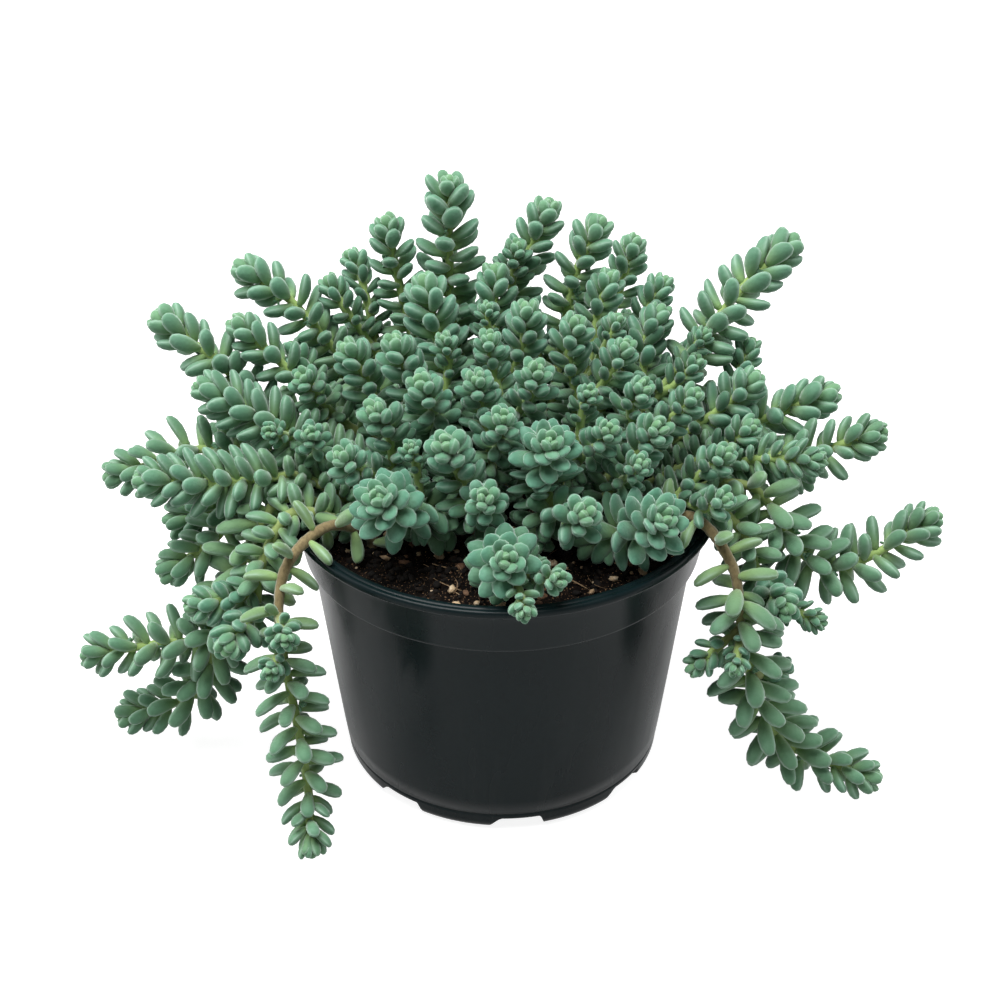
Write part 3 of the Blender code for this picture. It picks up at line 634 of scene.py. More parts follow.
def scatterBits(bits, material):
    # small closed lumps: a sphere of few faces, squashed, pulled about and laid on the soil
    random = np.random.default_rng(bits["seed"])
    form, count, flat = bitShape, bits["count"], bits["flat"]
    rings, sides = form["rings"], form["sides"]
    tilt = np.linspace(*form["ends"], rings) * math.pi
    turn = 2 * math.pi * np.arange(sides) / sides
    ball = np.stack([np.sin(tilt)[:, None] * np.cos(turn)[None], np.sin(tilt)[:, None] * np.sin(turn)[None],
                     -np.cos(tilt)[:, None] * np.ones(sides)[None]], -1).reshape(-1, 3)
    ball = np.concatenate([ball, [[0, 0, -1.0], [0, 0, 1.0]]])
    shape = ball[None] * (1.0 + bits["ragged"] * random.uniform(-1, 1, (count, len(ball), 1)))
    half = random.uniform(*bits["size"], count) * 0.5
    stretch = np.stack([half * random.uniform(*form["long"], count), half * random.uniform(*form["wide"], count),
                        half * flat * random.uniform(*form["high"], count)], -1)
    spin = random.uniform(0, 2 * math.pi, count)
    lean = random.uniform(-form["lean"], form["lean"], count)
    shape = turnAbout(shape * stretch[:, None], lean, spin)
    x, y = placesOnSoil(random, count, form["limit"])
    place = np.stack([x, y, soilHeight(x, y) + bits["rise"] * half * flat], -1)
    points = (shape + place[:, None]).reshape(-1, 3)
    quads, tris = tubeFaces(rings, sides, count)
    tint = np.repeat(random.uniform(0, 1, count), len(ball))
    makePiece(bits["name"], points, quads, tris, material, {"tint": tint})


fibreBits = {
    "name": "soil_fibres",
    "material": "strawFibre",
    "colours": ((0.330, 0.220, 0.120), (0.560, 0.430, 0.280), (0.100, 0.055, 0.030)),
    "roughness": 0.75,
    "count": 70,
    "seed": 14,
    "rings": 6,
    "sides": 5,
    "halfLength": (2.0, 5.5),
    "thick": (0.09, 0.24),
    "bow": 0.9,
    "arch": 0.1,
    "taper": 0.5,
    "flat": 0.7,
    "lean": 0.1,
    "limit": 46.0,
    "lift": 0.25,
    "tilt": (-0.12, 0.2),
}


def scatterFibres(bits, material):
    # thin tapering straws, each a bowed line with a round section, lying on the soil
    random = np.random.default_rng(bits["seed"])
    count, rings, sides = bits["count"], bits["rings"], bits["sides"]
    part = np.linspace(-1.0, 1.0, rings)[None]
    turn = 2 * math.pi * np.arange(sides) / sides
    length = random.uniform(*bits["halfLength"], count)[:, None]
    thick = random.uniform(*bits["thick"], count)[:, None]
    bow = random.uniform(-bits["bow"], bits["bow"], count)[:, None]
    line = np.stack([length * part, bow * (1 - part ** 2),
                     bits["arch"] * (1 - part ** 2) * np.ones((count, 1))], -1)
    taper = thick * (1.0 - bits["taper"] * np.abs(part))
    section = np.stack([np.zeros(sides), np.cos(turn), np.sin(turn) * bits["flat"]], -1)
    shape = line[:, :, None] + taper[:, :, None, None] * section[None, None]
    shape = np.concatenate([shape.reshape(count, -1, 3), line[:, :1], line[:, -1:]], 1)
    lean = random.uniform(-bits["lean"], bits["lean"], count)
    shape = turnAbout(shape, lean, random.uniform(0, 2 * math.pi, count))
    x, y = placesOnSoil(random, count, bits["limit"])
    points = shape + np.stack([x, y, soilHeight(x, y) + bits["lift"]], -1)[:, None]
    tilt = random.uniform(*bits["tilt"], count)[:, None]
    points[..., 2] += np.hypot(points[..., 0] - x[:, None], points[..., 1] - y[:, None]) * tilt
    quads, tris = tubeFaces(rings, sides, count)
    tint = np.repeat(random.uniform(0, 1, count), rings * sides + 2)
    makePiece(bits["name"], points.reshape(-1, 3), quads, tris, material, {"tint": tint})


buildSoil(makeSoilMaterial())
for bits in (crumbBits, gritBits, chipBits):
    scatterBits(bits, makeBitMaterial(bits))
scatterFibres(fibreBits, makeBitMaterial(fibreBits))
print("soil made")


# Layout of the plant, by the same tables and rules as the frame's source, in millimetres

plantSizes = {
    "potHeight": 81.0,
    "soilTop": 77.0,
    "lipInner": 53.6,
    "rimRadius": 57.0,
    "holeDepth": 6.7,
    "holeLimit": 45.5,
    "holeSpacing": 8.0,
    "domeDrop": 32.0,
    "domeReachX": 70.0,
    "domeReachY": 60.0,
    "domeCentreY": 10.0,
    "rootShare": 0.6,
    "rootCentre": 0.4,
    "collar": 1.0,
    "neck": 0.8,
    "holeRounds": 200,
    "holePush": 0.25,
}

# mound stems: the name, then its heads as x, y, height over the rim, radius
moundStems = [
    ("front_stem_1", [(-28, -37, 18, 10.2), (-22, -27, 27, 3.6)]),
    ("front_stem_3", [(37, -38, 13, 10.2)]),
    ("front_stem_4", [(19, -41, 17, 7.0), (11, -29, 28, 9.4)]),
    ("front_stem_5", [(-4, -39, 20, 6.2), (-13, -29, 28, 7.4)]),
    ("front_stem_6", [(-38, -24, 22, 6.2), (-30, -16, 30, 6.6)]),
    ("front_stem_7", [(37, -19, 27, 6.4), (33, -28, 23, 4.6)]),
    ("front_stem_8", [(53, -27, 12, 5.8), (54, -15, 17, 6.0)]),
    ("front_stem_9", [(25, -23, 29, 5.4), (21, -13, 34, 4.2)]),
    ("crown_stem_1", [(0, -23, 32, 6.0), (-6, -13, 37, 5.8)]),
    ("crown_stem_2", [(-19, -12, 35, 6.6), (-26, 2, 38, 7.0), (-14, 3, 40, 4.4)]),
    ("crown_stem_3", [(8, -11, 38, 6.2), (-3, 0, 41, 5.4)]),
    ("crown_stem_4", [(34, -8, 32, 5.6), (47, -3, 27, 5.6)]),
    ("crown_stem_5", [(62, 0, 16, 5.8)]),
    ("crown_stem_6", [(63, 11, 23, 7.2)]),
    ("crown_stem_7", [(6, 12, 42, 6.8), (-4, 15, 43, 3.6)]),
    ("crown_stem_8", [(18, 7, 41, 6.4), (30, 3, 37, 5.8)]),
    ("crown_stem_9", [(-38, 9, 33, 6.8)]),
    ("crown_stem_10", [(49, 15, 27, 5.0), (40, 26, 34, 6.8), (52, 20, 33, 4.0)]),
    ("crown_stem_11", [(29, 17, 38, 4.4), (27, 29, 43, 6.2)]),
    ("crown_stem_12", [(-19, 21, 44, 8.0)]),
    ("crown_stem_13", [(-2, 29, 44, 6.8)]),
    ("crown_stem_14", [(42, 40, 37, 5.6)]),
    ("left_stem_2", [(-44.5, 34, 40, 5.4), (-39.5, 44, 43, 5.2)]),
    ("back_stem_1", [(-51, 38, 20, 6.2), (-40, 49, 20, 6.2)]),
    ("back_stem_2", [(-25, 51, 24, 6.4), (-10, 53, 26, 6.4)]),
    ("back_stem_3", [(6, 54, 25, 6.6), (21, 51, 26, 6.4)]),
    ("back_stem_4", [(35, 50, 20, 6.4), (52, 40, 17, 6.4)]),
    ("back_stem_5", [(-31, 57, 8, 6.4), (-14, 61, 10, 6.6)]),
    ("back_stem_6", [(17, 61, 10, 6.6), (33, 57, 7, 6.4)]),
]

# free shoots: the name, then branches as points x, y, height over the rim, head radius, leafy length
freeShoots = [
    ("front_stem_2", [
        ([(2, -32, -4), (1, -41, 2.5), (1, -50, 10)], 9.8, 0),
        ([(2, -43, 4.5), (9, -49, 4.5), (12, -54, 8)], 4.8, 0),
        ([(1, -44, 5), (4, -54, 4.5), (5, -60, 4)], 4.2, 0),
    ]),
    ("upright_shoot_1", [([(-14, 24, -4), (-24, 34, 25), (-28, 39, 42), (-30, 40, 54)], 6.2, 20)]),
    ("upright_shoot_2", [([(-6, 30, -4), (-13, 36, 28), (-14, 39, 48), (-14, 40, 66)], 7.8, 34)]),
    ("upright_shoot_3", [
        ([(3, 32, -4), (2, 39, 30), (6, 43, 44), (11, 45, 56)], 6.6, 22),
        ([(2, 39, 32), (3.5, 37, 49)], 5.4, 2),
    ]),
    ("upright_shoot_4", [([(12, 28, -4), (17, 35, 30), (20, 38, 44), (24, 39, 54)], 6.6, 20)]),
    ("upright_shoot_5", [([(21, 32, -4), (30, 43, 28), (35, 48, 45)], 5.6, 12)]),
    ("upper_left_shoot_1", [([(-24, 22, -4), (-45, 28, 26), (-56, 32, 38), (-66, 35, 44)], 7.0, 24)]),
    ("upper_left_shoot_2", [([(-30, 13, -4), (-57, 11, 9), (-73, 18, 25.5), (-87, 24, 34.5)], 7.2, 30)]),
    ("upper_left_shoot_3", [
        ([(-27, 14, -4), (-44, 12, 14), (-56, 16, 26), (-66.5, 19, 35.5)], 6.4, 14),
        ([(-44, 12, 14), (-50, 5, 28)], 5.8, 0),
        ([(-46, 12, 15), (-54, 22, 26)], 6.0, 0),
    ]),
    ("left_shoot_1", [
        ([(-33, -4, -4), (-50, 0, 12), (-60, 2, 18), (-72, 5, 24)], 10.0, 18),
        ([(-54, 1, 14), (-58, -6, 20)], 3.8, 2),
        ([(-48, -1, 10), (-48, -12, 22)], 5.2, 4),
    ]),
    ("left_shoot_2", [([(-38, 4, -4), (-58, 7, 5), (-80, 9, 6), (-101, 10, -2)], 7.0, 40)]),
    ("left_shoot_3", [([(-39, -8, -4), (-51, -7, 7), (-60, -9, 8), (-72, -11, 8), (-86, -12, 9)], 9.8, 22)]),
    ("left_shoot_4", [
        ([(-43, -2, -4), (-51, -2, 4.2), (-59, -2, 4.2), (-70, 0, -4), (-84, 2, -11)], 7.6, 22),
        ([(-66, -1, -1), (-75, -8, -11), (-85, -10, -18)], 7.4, 16),
    ]),
    ("left_shoot_5", [
        ([(-40, -15, -4), (-47.5, -18.5, 3.5), (-54.5, -21, 3.8), (-60.5, -26.5, -6), (-62.5, -31.5, -17.5),
          (-66.5, -42, -18)], 7.2, 10),
        ([(-61, -28, -10), (-66, -31, -14), (-74.5, -34, -13.5)], 6.0, 9),
    ]),
    ("left_shoot_6", [
        ([(-44, -9, -4), (-51, -11.5, 3.5), (-58.5, -14, 3), (-67, -17, -12), (-76, -13, -38), (-92, -11, -43),
          (-109, -10, -47)], 7.2, 46),
        ([(-76, -13, -38), (-82, -9, -58), (-92, -6, -68), (-102, -5, -71)], 7.2, 36),
    ]),
    ("left_trailing_stem", [
        ([(-33, -21, -4), (-41, -27, 5.5), (-48, -31, 4), (-53.5, -37, -1), (-55, -43, -9), (-54, -48, -19),
          (-52, -52, -30), (-50, -56, -42), (-48.7, -58.5, -55), (-48, -67, -61)], 6.6, 46),
        ([(-55, -44, -10), (-52.5, -55.5, -7.5)], 5.0, 3),
        ([(-54, -47, -17), (-55.5, -56, -16.5)], 4.6, 3),
    ]),
    ("right_shoot_1", [([(26, 17, -4), (46, 20, 20), (55, 26, 33), (65, 33, 43), (74, 39, 49)], 7.4, 30)]),
    ("right_shoot_2", [
        ([(43, 15, -4), (58, 15, 7), (70, 14, 12.5), (83, 15, 18)], 7.2, 24),
        ([(60, 15, 8), (61, 20, 16), (65, 24, 26.5)], 5.4, 4),
    ]),
    ("right_shoot_3", [([(39, 6, -4), (57, 7, 5), (80, 6, 6), (95, 5, 12)], 7.0, 28)]),
    ("right_shoot_4", [([(42, -1, -4), (57, -2, 7), (67, -5, 11.5), (77.5, -9, 13.5)], 6.6, 20)]),
    ("right_shoot_5", [
        ([(43, -7, -4), (52, -8.5, 5), (62, -9.5, 6.5), (68, -11, 2.5), (74, -12, -8), (83, -12, -17), (92, -10, -18),
          (101, -7.5, -14.5), (110, -5, -9)], 7.6, 50),
    ]),
    ("right_shoot_6", [
        ([(41, -13, -4), (48, -15.5, 3.5), (56, -18, 3.5), (62.5, -20, -4), (66.5, -23, -15), (69.5, -32.5, -13.5)],
         7.2, 10),
        ([(66.5, -23, -15), (73, -24.5, -21), (80, -27, -23.5)], 4.8, 6),
    ]),
    ("right_trailing_stem", [
        ([(36, -18, -4), (45, -22, 5), (51.5, -26, 4), (57, -33, -2), (59, -36, -9), (60, -38, -18), (62, -39, -26),
          (64, -39, -36), (68.5, -37, -47), (73, -35, -56), (81, -33, -63.5), (94.5, -36, -67)], 7.4, 60),
        ([(60, -38, -18), (50, -43, -25)], 5.0, 4),
        ([(60, -38, -19), (58, -48, -22)], 3.8, 3),
        ([(64, -39, -33), (71.5, -31.5, -36)], 4.8, 4),
    ]),
    ("back_shoot_1", [
        ([(-24, 37, -4), (-30, 43, 3), (-35, 49, 3.8), (-42, 58, -6), (-47, 62, -24), (-48, 63, -42)], 6.8, 34),
    ]),
    ("back_shoot_2", [
        ([(1, 43, -4), (1, 52, 3.5), (1, 60, 3.5), (1, 66, -6), (2, 66, -22), (3, 64, -36)], 6.8, 28),
    ]),
    ("back_shoot_3", [
        ([(28, 36, -4), (34, 41, 3), (39, 46, 3.8), (47, 55, -6), (54, 60, -24), (58, 60, -48)], 6.8, 40),
    ]),
    ("back_shoot_4", [([(-37, 22, -4), (-45, 25, 3.5), (-54, 28, 3.5), (-70, 34, -6), (-83, 38, -22)], 7.4, 24)]),
    ("back_shoot_5", [([(37, 20, -4), (47, 24, 3.5), (55, 27, 3.5), (70, 33, -4), (83, 36, -18)], 7.4, 24)]),
]


def domeNormal(x, y):
    # straight out of a mound whose height falls with the square of the distance from its middle
    sizes = plantSizes
    slopeX = 2 * sizes["domeDrop"] * x / sizes["domeReachX"] ** 2
    slopeY = 2 * sizes["domeDrop"] * (y - sizes["domeCentreY"]) / sizes["domeReachY"] ** 2
    return unit(np.array([slopeX, slopeY, 1.0]))


def spreadHoles(places):
    # push the stems' places in the soil apart until they keep their spacing inside the rim
    spots = np.array(places, float)
    for _ in range(plantSizes["holeRounds"]):
        offset = spots[:, None] - spots[None]
        distance = np.linalg.norm(offset, axis=2) + np.eye(len(spots)) * 1000
        push = np.clip(plantSizes["holeSpacing"] - distance, 0, None) / distance
        spots += plantSizes["holePush"] * (offset * push[:, :, None]).sum(axis=1)
        reach = np.linalg.norm(spots, axis=1)
        spots *= np.minimum(1, plantSizes["holeLimit"] / reach)[:, None]
    return spots


def moundBranches(heads, hole):
    # up out of the soil, forking once, each branch to its own head
    sizes = plantSizes
    places = [np.array([x, y, sizes["potHeight"] + height]) for x, y, height, _ in heads]
    collar = np.array([*hole, sizes["soilTop"] + sizes["collar"]])
    fork = 0.5 * (collar + sum(places) / len(places))
    branches = []
    for place, (x, y, _, radius) in zip(places, heads):
        axis = domeNormal(x, y)
        neck = place - axis * sizes["neck"] * radius
        points = [collar, fork, neck] if not branches else [fork, neck]
        branches.append({"points": points, "head": place, "axis": axis, "radius": radius, "leafy": 12.0,
                         "rooted": not branches, "kind": "rosette" if radius > 9.0 else "mound"})
    return branches


def shootBranches(name, rows, hole):
    # along its row of points, less the last bit that the head takes up
    sizes = plantSizes
    branches = []
    for points, radius, leafy in rows:
        path = [np.array([x, y, sizes["potHeight"] + height], float) for x, y, height in points]
        if not branches:
            path[0] = np.array([*hole, sizes["soilTop"] + sizes["collar"]])
        axis = unit(path[-1] - path[-2])
        head = path[-1]
        path[-1] = head - axis * sizes["neck"] * radius
        if (path[-1] - path[-2]) @ axis < 2.0:
            path.pop(-2)
        kind = "broad" if name in broadShoots else "dense" if name in denseShoots else "shoot"
        if leafy < 6:
            kind = "rosette" if radius > 9.0 else "offset"
        elif leafy <= 10 and radius >= 6.0:
            # short stems that end in a wide open head
            kind = "mound"
        branches.append({"points": path, "head": head, "axis": axis, "radius": radius, "leafy": float(leafy),
                         "rooted": not branches, "kind": kind})
    return branches


def planStems():
    # each stem starts under its heads, drawn in towards the middle of the soil
    share, centre = plantSizes["rootShare"], plantSizes["domeCentreY"] * plantSizes["rootCentre"]
    wanted = []
    for _, heads in moundStems:
        x, y = (sum(head[index] for head in heads) / len(heads) for index in (0, 1))
        wanted.append((x * share, centre + (y - centre) * share))
    wanted += [rows[0][0][0][:2] for _, rows in freeShoots]
    holes = spreadHoles(wanted)
    stems = [{"name": name, "branches": moundBranches(heads, hole)}
             for (name, heads), hole in zip(moundStems, holes)]
    stems += [{"name": name, "branches": shootBranches(name, rows, hole)}
              for (name, rows), hole in zip(freeShoots, holes[len(moundStems):])]
    return stems


# Stems: a path with a frame carried along it, and a round tube on the path

# how each kind of branch grows: leaf length for its head's radius, the tip leaf's share of that, length over width,
# thickness over width, widest place, bluntness, how far leaves lean out at the head's edge and lower down in
# degrees, leaves in the head, the head's length in radii, leaf spacing, the lower leaves' length, how far leaves
# bend up, how much painted shade the hidden leaves get, and how faded all are
growthColumns = ("length", "small", "slim", "thick", "widest", "apex", "lean", "lowLean", "ramp", "headSpan", "gap",
                 "lowLength", "curl", "shade", "faded")
growthRows = {
    "rosette": (0.96, 0.46, 1.80, 0.52, 0.62, 0.68, 80, 104, 23, 0.80, 0.78, 0.94, 0.18, 0.70, 0.00),
    "mound": (1.08, 0.60, 1.86, 0.86, 0.62, 0.46, 56, 82, 11, 0.98, 1.02, 1.12, 0.15, 1.00, 0.00),
    "broad": (1.18, 0.56, 1.72, 0.72, 0.63, 0.46, 52, 80, 11, 1.05, 1.15, 1.26, 0.16, 0.30, 0.14),
    "shoot": (1.12, 0.50, 2.12, 0.82, 0.66, 0.42, 58, 86, 15, 1.05, 1.15, 1.44, 0.16, 0.25, 0.28),
    "dense": (0.92, 0.50, 2.05, 0.80, 0.62, 0.44, 60, 80, 18, 1.00, 0.72, 1.00, 0.15, 0.45, 0.18),
    "offset": (1.04, 0.58, 1.80, 0.80, 0.62, 0.48, 56, 80, 11, 0.90, 1.00, 1.08, 0.14, 0.60, 0.00),
}
growth = {kind: dict(zip(growthColumns, row)) for kind, row in growthRows.items()}
broadShoots = ("upright_shoot_1", "upright_shoot_2", "upright_shoot_3", "upright_shoot_4", "upright_shoot_5",
               "upper_left_shoot_1", "upper_left_shoot_2", "upper_left_shoot_3", "right_shoot_1", "right_shoot_2")
denseShoots = ("left_shoot_1", "left_shoot_3", "left_shoot_5", "right_shoot_4", "right_shoot_6")
# only these show a long brown stem; the leaves stand close up to so many head radii above the green part
bareStems = {"left_trailing_stem": 0.9, "right_trailing_stem": 2.5}

stemShape = {
    "sides": 9,
    "curveSteps": 16,
    "stepLength": 0.8,
    "tipRise": (0.78, 0.47),    # in head radii, the second taken off for the length of the leaves
    "rosetteRise": 0.34,
    "startSide": (0.3, 1.0, 0.2),
    "tip": 0.55,
    "green": 1.15,
    "rosetteGreen": 1.35,
    "full": 1.42,
    "woodyRun": 22.0,
    "knots": (0.05, 0.06),
    "knotTurns": (2.1, 0.83),
    "pole": 0.4,
    "barkStart": 6.0,
    "barkRun": 16.0,
    "barkShare": 0.30,
}


def followPath(branch):
    # a smooth curve through the branch's points and on to its tip, as places, directions and side vectors
    sizes, form = plantSizes, stemShape
    high, less = form["tipRise"]
    rise = (high - less * growth[branch["kind"]]["length"]) * branch["radius"]
    if branch["kind"] == "rosette":
        rise = form["rosetteRise"] * branch["radius"]
    tip = branch["head"] + branch["axis"] * rise
    points = [np.array(point, float) for point in branch["points"]]
    first = np.array([0, 0, 1.0]) if branch["rooted"] else unit(points[1] - points[0])
    ends = [points[0] - first * np.linalg.norm(points[1] - points[0])] + points + [points[-1] * 2 - points[-2]]
    curve = []
    t = np.linspace(0.0, 1.0, form["curveSteps"], endpoint=False)[:, None]
    for a, b, c, d in zip(ends, ends[1:], ends[2:], ends[3:]):
        curve.append(0.5 * (2 * b + (c - a) * t + (2 * a - 5 * b + 4 * c - d) * t ** 2
                            + (3 * b - a - 3 * c + d) * t ** 3))
    curve = np.concatenate(curve + [points[-1][None], tip[None]])
    if branch["rooted"]:
        foot = np.array([[points[0][0], points[0][1], sizes["soilTop"] - sizes["holeDepth"]]])
        curve = np.concatenate([foot, curve])
    travelled = np.concatenate([[0.0], np.cumsum(np.linalg.norm(np.diff(curve, axis=0), axis=1))])
    steps = max(6, int(travelled[-1] / form["stepLength"]))
    wanted = np.linspace(0.0, travelled[-1], steps)
    places = np.stack([np.interp(wanted, travelled, curve[:, index]) for index in range(3)], -1)
    along = unit(np.gradient(places, axis=0))
    side = np.zeros_like(places)
    side[0] = unit(np.cross(along[0], form["startSide"]))
    for index in range(1, len(places)):
        carried = side[index - 1] - along[index] * (side[index - 1] @ along[index])
        side[index] = carried / np.linalg.norm(carried)
    branch["places"], branch["along"], branch["side"] = places, along, side
    branch["fromTip"] = wanted[-1] - wanted
    branch["thick"] = stemThickness(branch)


def stemThickness(branch):
    # thin at the tip, full at one head's radius below it, and slightly knotted where leaves have fallen
    away, form = branch["fromTip"], stemShape
    green = form["rosetteGreen"] if branch["kind"] == "rosette" else form["green"]
    grown = form["tip"] + (green - form["tip"]) * smooth(away / branch["radius"])
    woody = smooth((away - branch["leafy"] - branch["radius"]) / form["woodyRun"])
    (low, more), (fast, slow) = form["knots"], form["knotTurns"]
    knots = low + more * woody
    return grown + (form["full"] - green) * woody + knots * np.sin(away * fast) * np.sin(away * slow + 1.0)


def frameAt(branch, away):
    # place, direction and side vector at a distance from the tip
    order = branch["fromTip"][::-1]
    place, along, side = (np.array([np.interp(away, order, branch[key][::-1, index]) for index in range(3)])
                          for key in ("places", "along", "side"))
    along = unit(along)
    side = unit(side - along * (side @ along))
    thick = float(np.interp(away, order, branch["thick"][::-1]))
    return place, along, side, thick


def stemTube(branch):
    # rings of points round the path, with a pole at each end
    form, sides = stemShape, stemShape["sides"]
    turn = 2 * math.pi * np.arange(sides) / sides
    places, along, side = branch["places"], branch["along"], branch["side"]
    other = np.cross(along, side)
    ring = (np.cos(turn)[None, :, None] * side[:, None] + np.sin(turn)[None, :, None] * other[:, None])
    rings = places[:, None] + ring * branch["thick"][:, None, None]
    points = np.concatenate([rings.reshape(-1, 3), places[:1], places[-1:] + along[-1:] * form["pole"]])
    quads, tris = tubeFaces(len(places), sides)
    woody = smooth((branch["fromTip"] - branch["leafy"] - branch["radius"] + form["barkStart"]) / form["barkRun"])
    woody = woody * (1.0 if branch["name"] in bareStems else form["barkShare"])
    bark = np.concatenate([np.repeat(woody, sides), woody[:1], woody[-1:]])
    return points, quads, tris, bark


# Leaves: where each one sits, and room for it among its neighbours

leafRoom = {
    "parts": (0.34, 0.62, 0.87),
    "radii": (0.38, 0.44, 0.30),
    "overlap": 0.4,
    "potGap": 0.35,
    "wallGap": 0.5,
    "boxGap": 0.25,
    "turns": (0.0, 0.22, -0.22, 0.45, -0.45),
    "lifts": (0.0, 0.2, 0.42),
    "scales": (1.0, 0.88, 0.76, 0.62),
    "leastLean": 0.15,
    "seat": 0.55,
    "nearby": 6.0,
    "mostBalls": 60000,
    "firstSeed": 1000,
    "skinGap": 0.02,
}
leafHabit = {
    "rootBare": 9.0,    # no leaves on the lowest part of a rooted branch, and of a fork
    "forkBare": 2.5,
    "dense": 0.9,
    "bareSpacing": 2.5,
    "wideSpacing": 1.35,
    "headPower": 1.6,
    "lowRun": 14.0,
    "tiredStart": 4.0,
    "tiredRun": 9.0,
    "tiredShare": 0.45,
    "longest": 10.6,
    "innerLean": 18,
    "tiredLean": 8,
    "innerThick": 0.92,
    "fixedShare": 0.45,
}
budHabit = {
    "start": 1.1,
    "startMore": (2, 5),
    "apart": (6, 13),
    "size": (1.6, 2.9),
    "leaves": 8,
    "length": (0.55, 0.06),
    "width": 0.42,
    "lean": (12, 8),
    "young": 0.55,
    "forward": 0.35,
    "stand": 0.7,
    "shape": {"thick": 0.7, "widest": 0.6, "apex": 0.5, "curl": 0.1, "bend": 0.0, "old": 0.0, "tint": 0.3},
}
shadeRule = {
    "middle": (0.0, 0.0, 62.0),
    "place": 0.7,
    "nearby": 60.0,
    "over": (2.5, 24.0),
    "beside": 4.0,
    "balls": (3.0, 16.0),
}


def leafPlans(branch, random):
    # leaves spiral down from the tip by the golden turn; spacing, size and lean grow with each step
    way, habit = growth[branch["kind"]], leafHabit
    radius = branch["radius"]
    headSpan = way["headSpan"] * radius
    bare = branch["name"] in bareStems
    dense = branch["leafy"] + bareStems.get(branch["name"], habit["dense"]) * radius
    end = branch["fromTip"][0] - habit["rootBare" if branch["rooted"] else "forkBare"]
    spacing = habit["wideSpacing"] if branch["kind"] in ("shoot", "broad") else 1.0
    if bare:
        spacing = habit["bareSpacing"]
    turn = random.uniform(0, 2 * math.pi)
    plans = []
    away, index = 0.0, 0
    while away < end:
        grown = smooth(index / way["ramp"] * 0.5 + 0.5) * 2 - 1
        if index <= way["ramp"]:
            away = headSpan * (index / way["ramp"]) ** habit["headPower"]
        else:
            away += way["gap"] * (1.0 if away < dense else spacing) * random.uniform(0.85, 1.15)
        low = float(smooth((away - headSpan) / habit["lowRun"]))
        tired = float(smooth((away - dense + habit["tiredStart"]) / habit["tiredRun"]))
        tired *= 1.0 if bare else habit["tiredShare"]
        full = radius * (way["length"] + (way["lowLength"] - way["length"]) * low)
        if branch["kind"] == "shoot":
            full = full * (1 - low) + min(full, habit["longest"]) * low
            full *= 1.0 + (0.0 if bare else 0.14) * tired
        length = full * (way["small"] + (1 - way["small"]) * grown)
        slim = way["slim"] * (1.0 + 0.08 * low + 0.08 * tired)
        lean = habit["innerLean"] + (way["lean"] - habit["innerLean"]) * grown ** 0.9
        lean = lean + (way["lowLean"] - way["lean"]) * low + habit["tiredLean"] * tired
        young = math.exp(-index / 4.0)
        plans.append({
            "away": away, "index": index, "turn": turn, "length": length * random.uniform(0.92, 1.06),
            "width": length / slim * (1.20 - 0.20 * grown) * random.uniform(0.93, 1.07),
            "lean": math.radians(lean + random.uniform(-5, 5)),
            "thick": (way["thick"] + (habit["innerThick"] - way["thick"]) * young) * random.uniform(0.93, 1.07),
            "widest": way["widest"], "apex": way["apex"], "curl": way["curl"] * random.uniform(0.3, 1.6),
            "young": math.exp(-index / 5.0), "old": tired * random.uniform(0.7, 1.0) + 0.12 * low + way["faded"],
            "tint": random.uniform(0, 1) ** 1.5 + 1.6 * way["faded"], "bend": random.uniform(-0.05, 0.05),
            "fixed": index < habit["fixedShare"] * way["ramp"],
        })
        turn += goldenTurn + random.uniform(-0.08, 0.08)
        index += 1
    return plans


def budPlans(branch, random):
    # small side buds in some leaf joints of the free shoots, each a tight bunch of tiny leaves
    habit, plans = budHabit, []
    if branch["kind"] not in ("shoot", "broad"):
        return plans
    (length, longer), (lean, wider) = habit["length"], habit["lean"]
    away = branch["radius"] * habit["start"] + random.uniform(*habit["startMore"])
    while away < branch["leafy"]:
        way = random.uniform(0, 2 * math.pi)
        size = random.uniform(*habit["size"])
        for index in range(habit["leaves"]):
            plans.append({"away": away, "budTurn": way, "turn": index * goldenTurn,
                          "length": size * (length + longer * index), "width": size * habit["width"],
                          "lean": math.radians(lean + wider * index), "young": habit["young"]})
        away += random.uniform(*habit["apart"])
    return plans


def aroundAxis(axis, side, turn):
    # the side vector turned about its axis
    return math.cos(turn) * side + math.sin(turn) * np.cross(axis, side)


def narrowed(scale):
    # a shortened leaf loses less of its width than of its length
    return 0.35 + 0.65 * scale


def variantsOf(base, along, outward, plan):
    # the leaf as planned, then turned, raised and shortened, as directions and lengths
    room = leafRoom
    turns, lifts, scales = np.meshgrid(room["turns"], room["lifts"], room["scales"], indexing="ij")
    order = np.lexsort((np.abs(turns).ravel(), lifts.ravel(), -scales.ravel()))
    turns, lifts, scales = turns.ravel()[order], lifts.ravel()[order], scales.ravel()[order]
    other = np.cross(along, outward)
    radial = np.cos(turns)[:, None] * outward + np.sin(turns)[:, None] * other
    lean = np.maximum(plan["lean"] - lifts, room["leastLean"])
    direction = np.cos(lean)[:, None] * along + np.sin(lean)[:, None] * radial
    upward = np.sin(lean)[:, None] * along - np.cos(lean)[:, None] * radial
    reach = plan["length"] * scales
    parts = np.array(room["parts"])
    centres = base + direction[:, None] * (reach[:, None] * parts)[..., None]
    centres = centres + upward[:, None] * (reach[:, None] * plan["curl"] * parts ** 2)[..., None]
    radii = plan["width"] * narrowed(scales)[:, None] * np.array(room["radii"])
    return direction, upward, scales, centres, radii


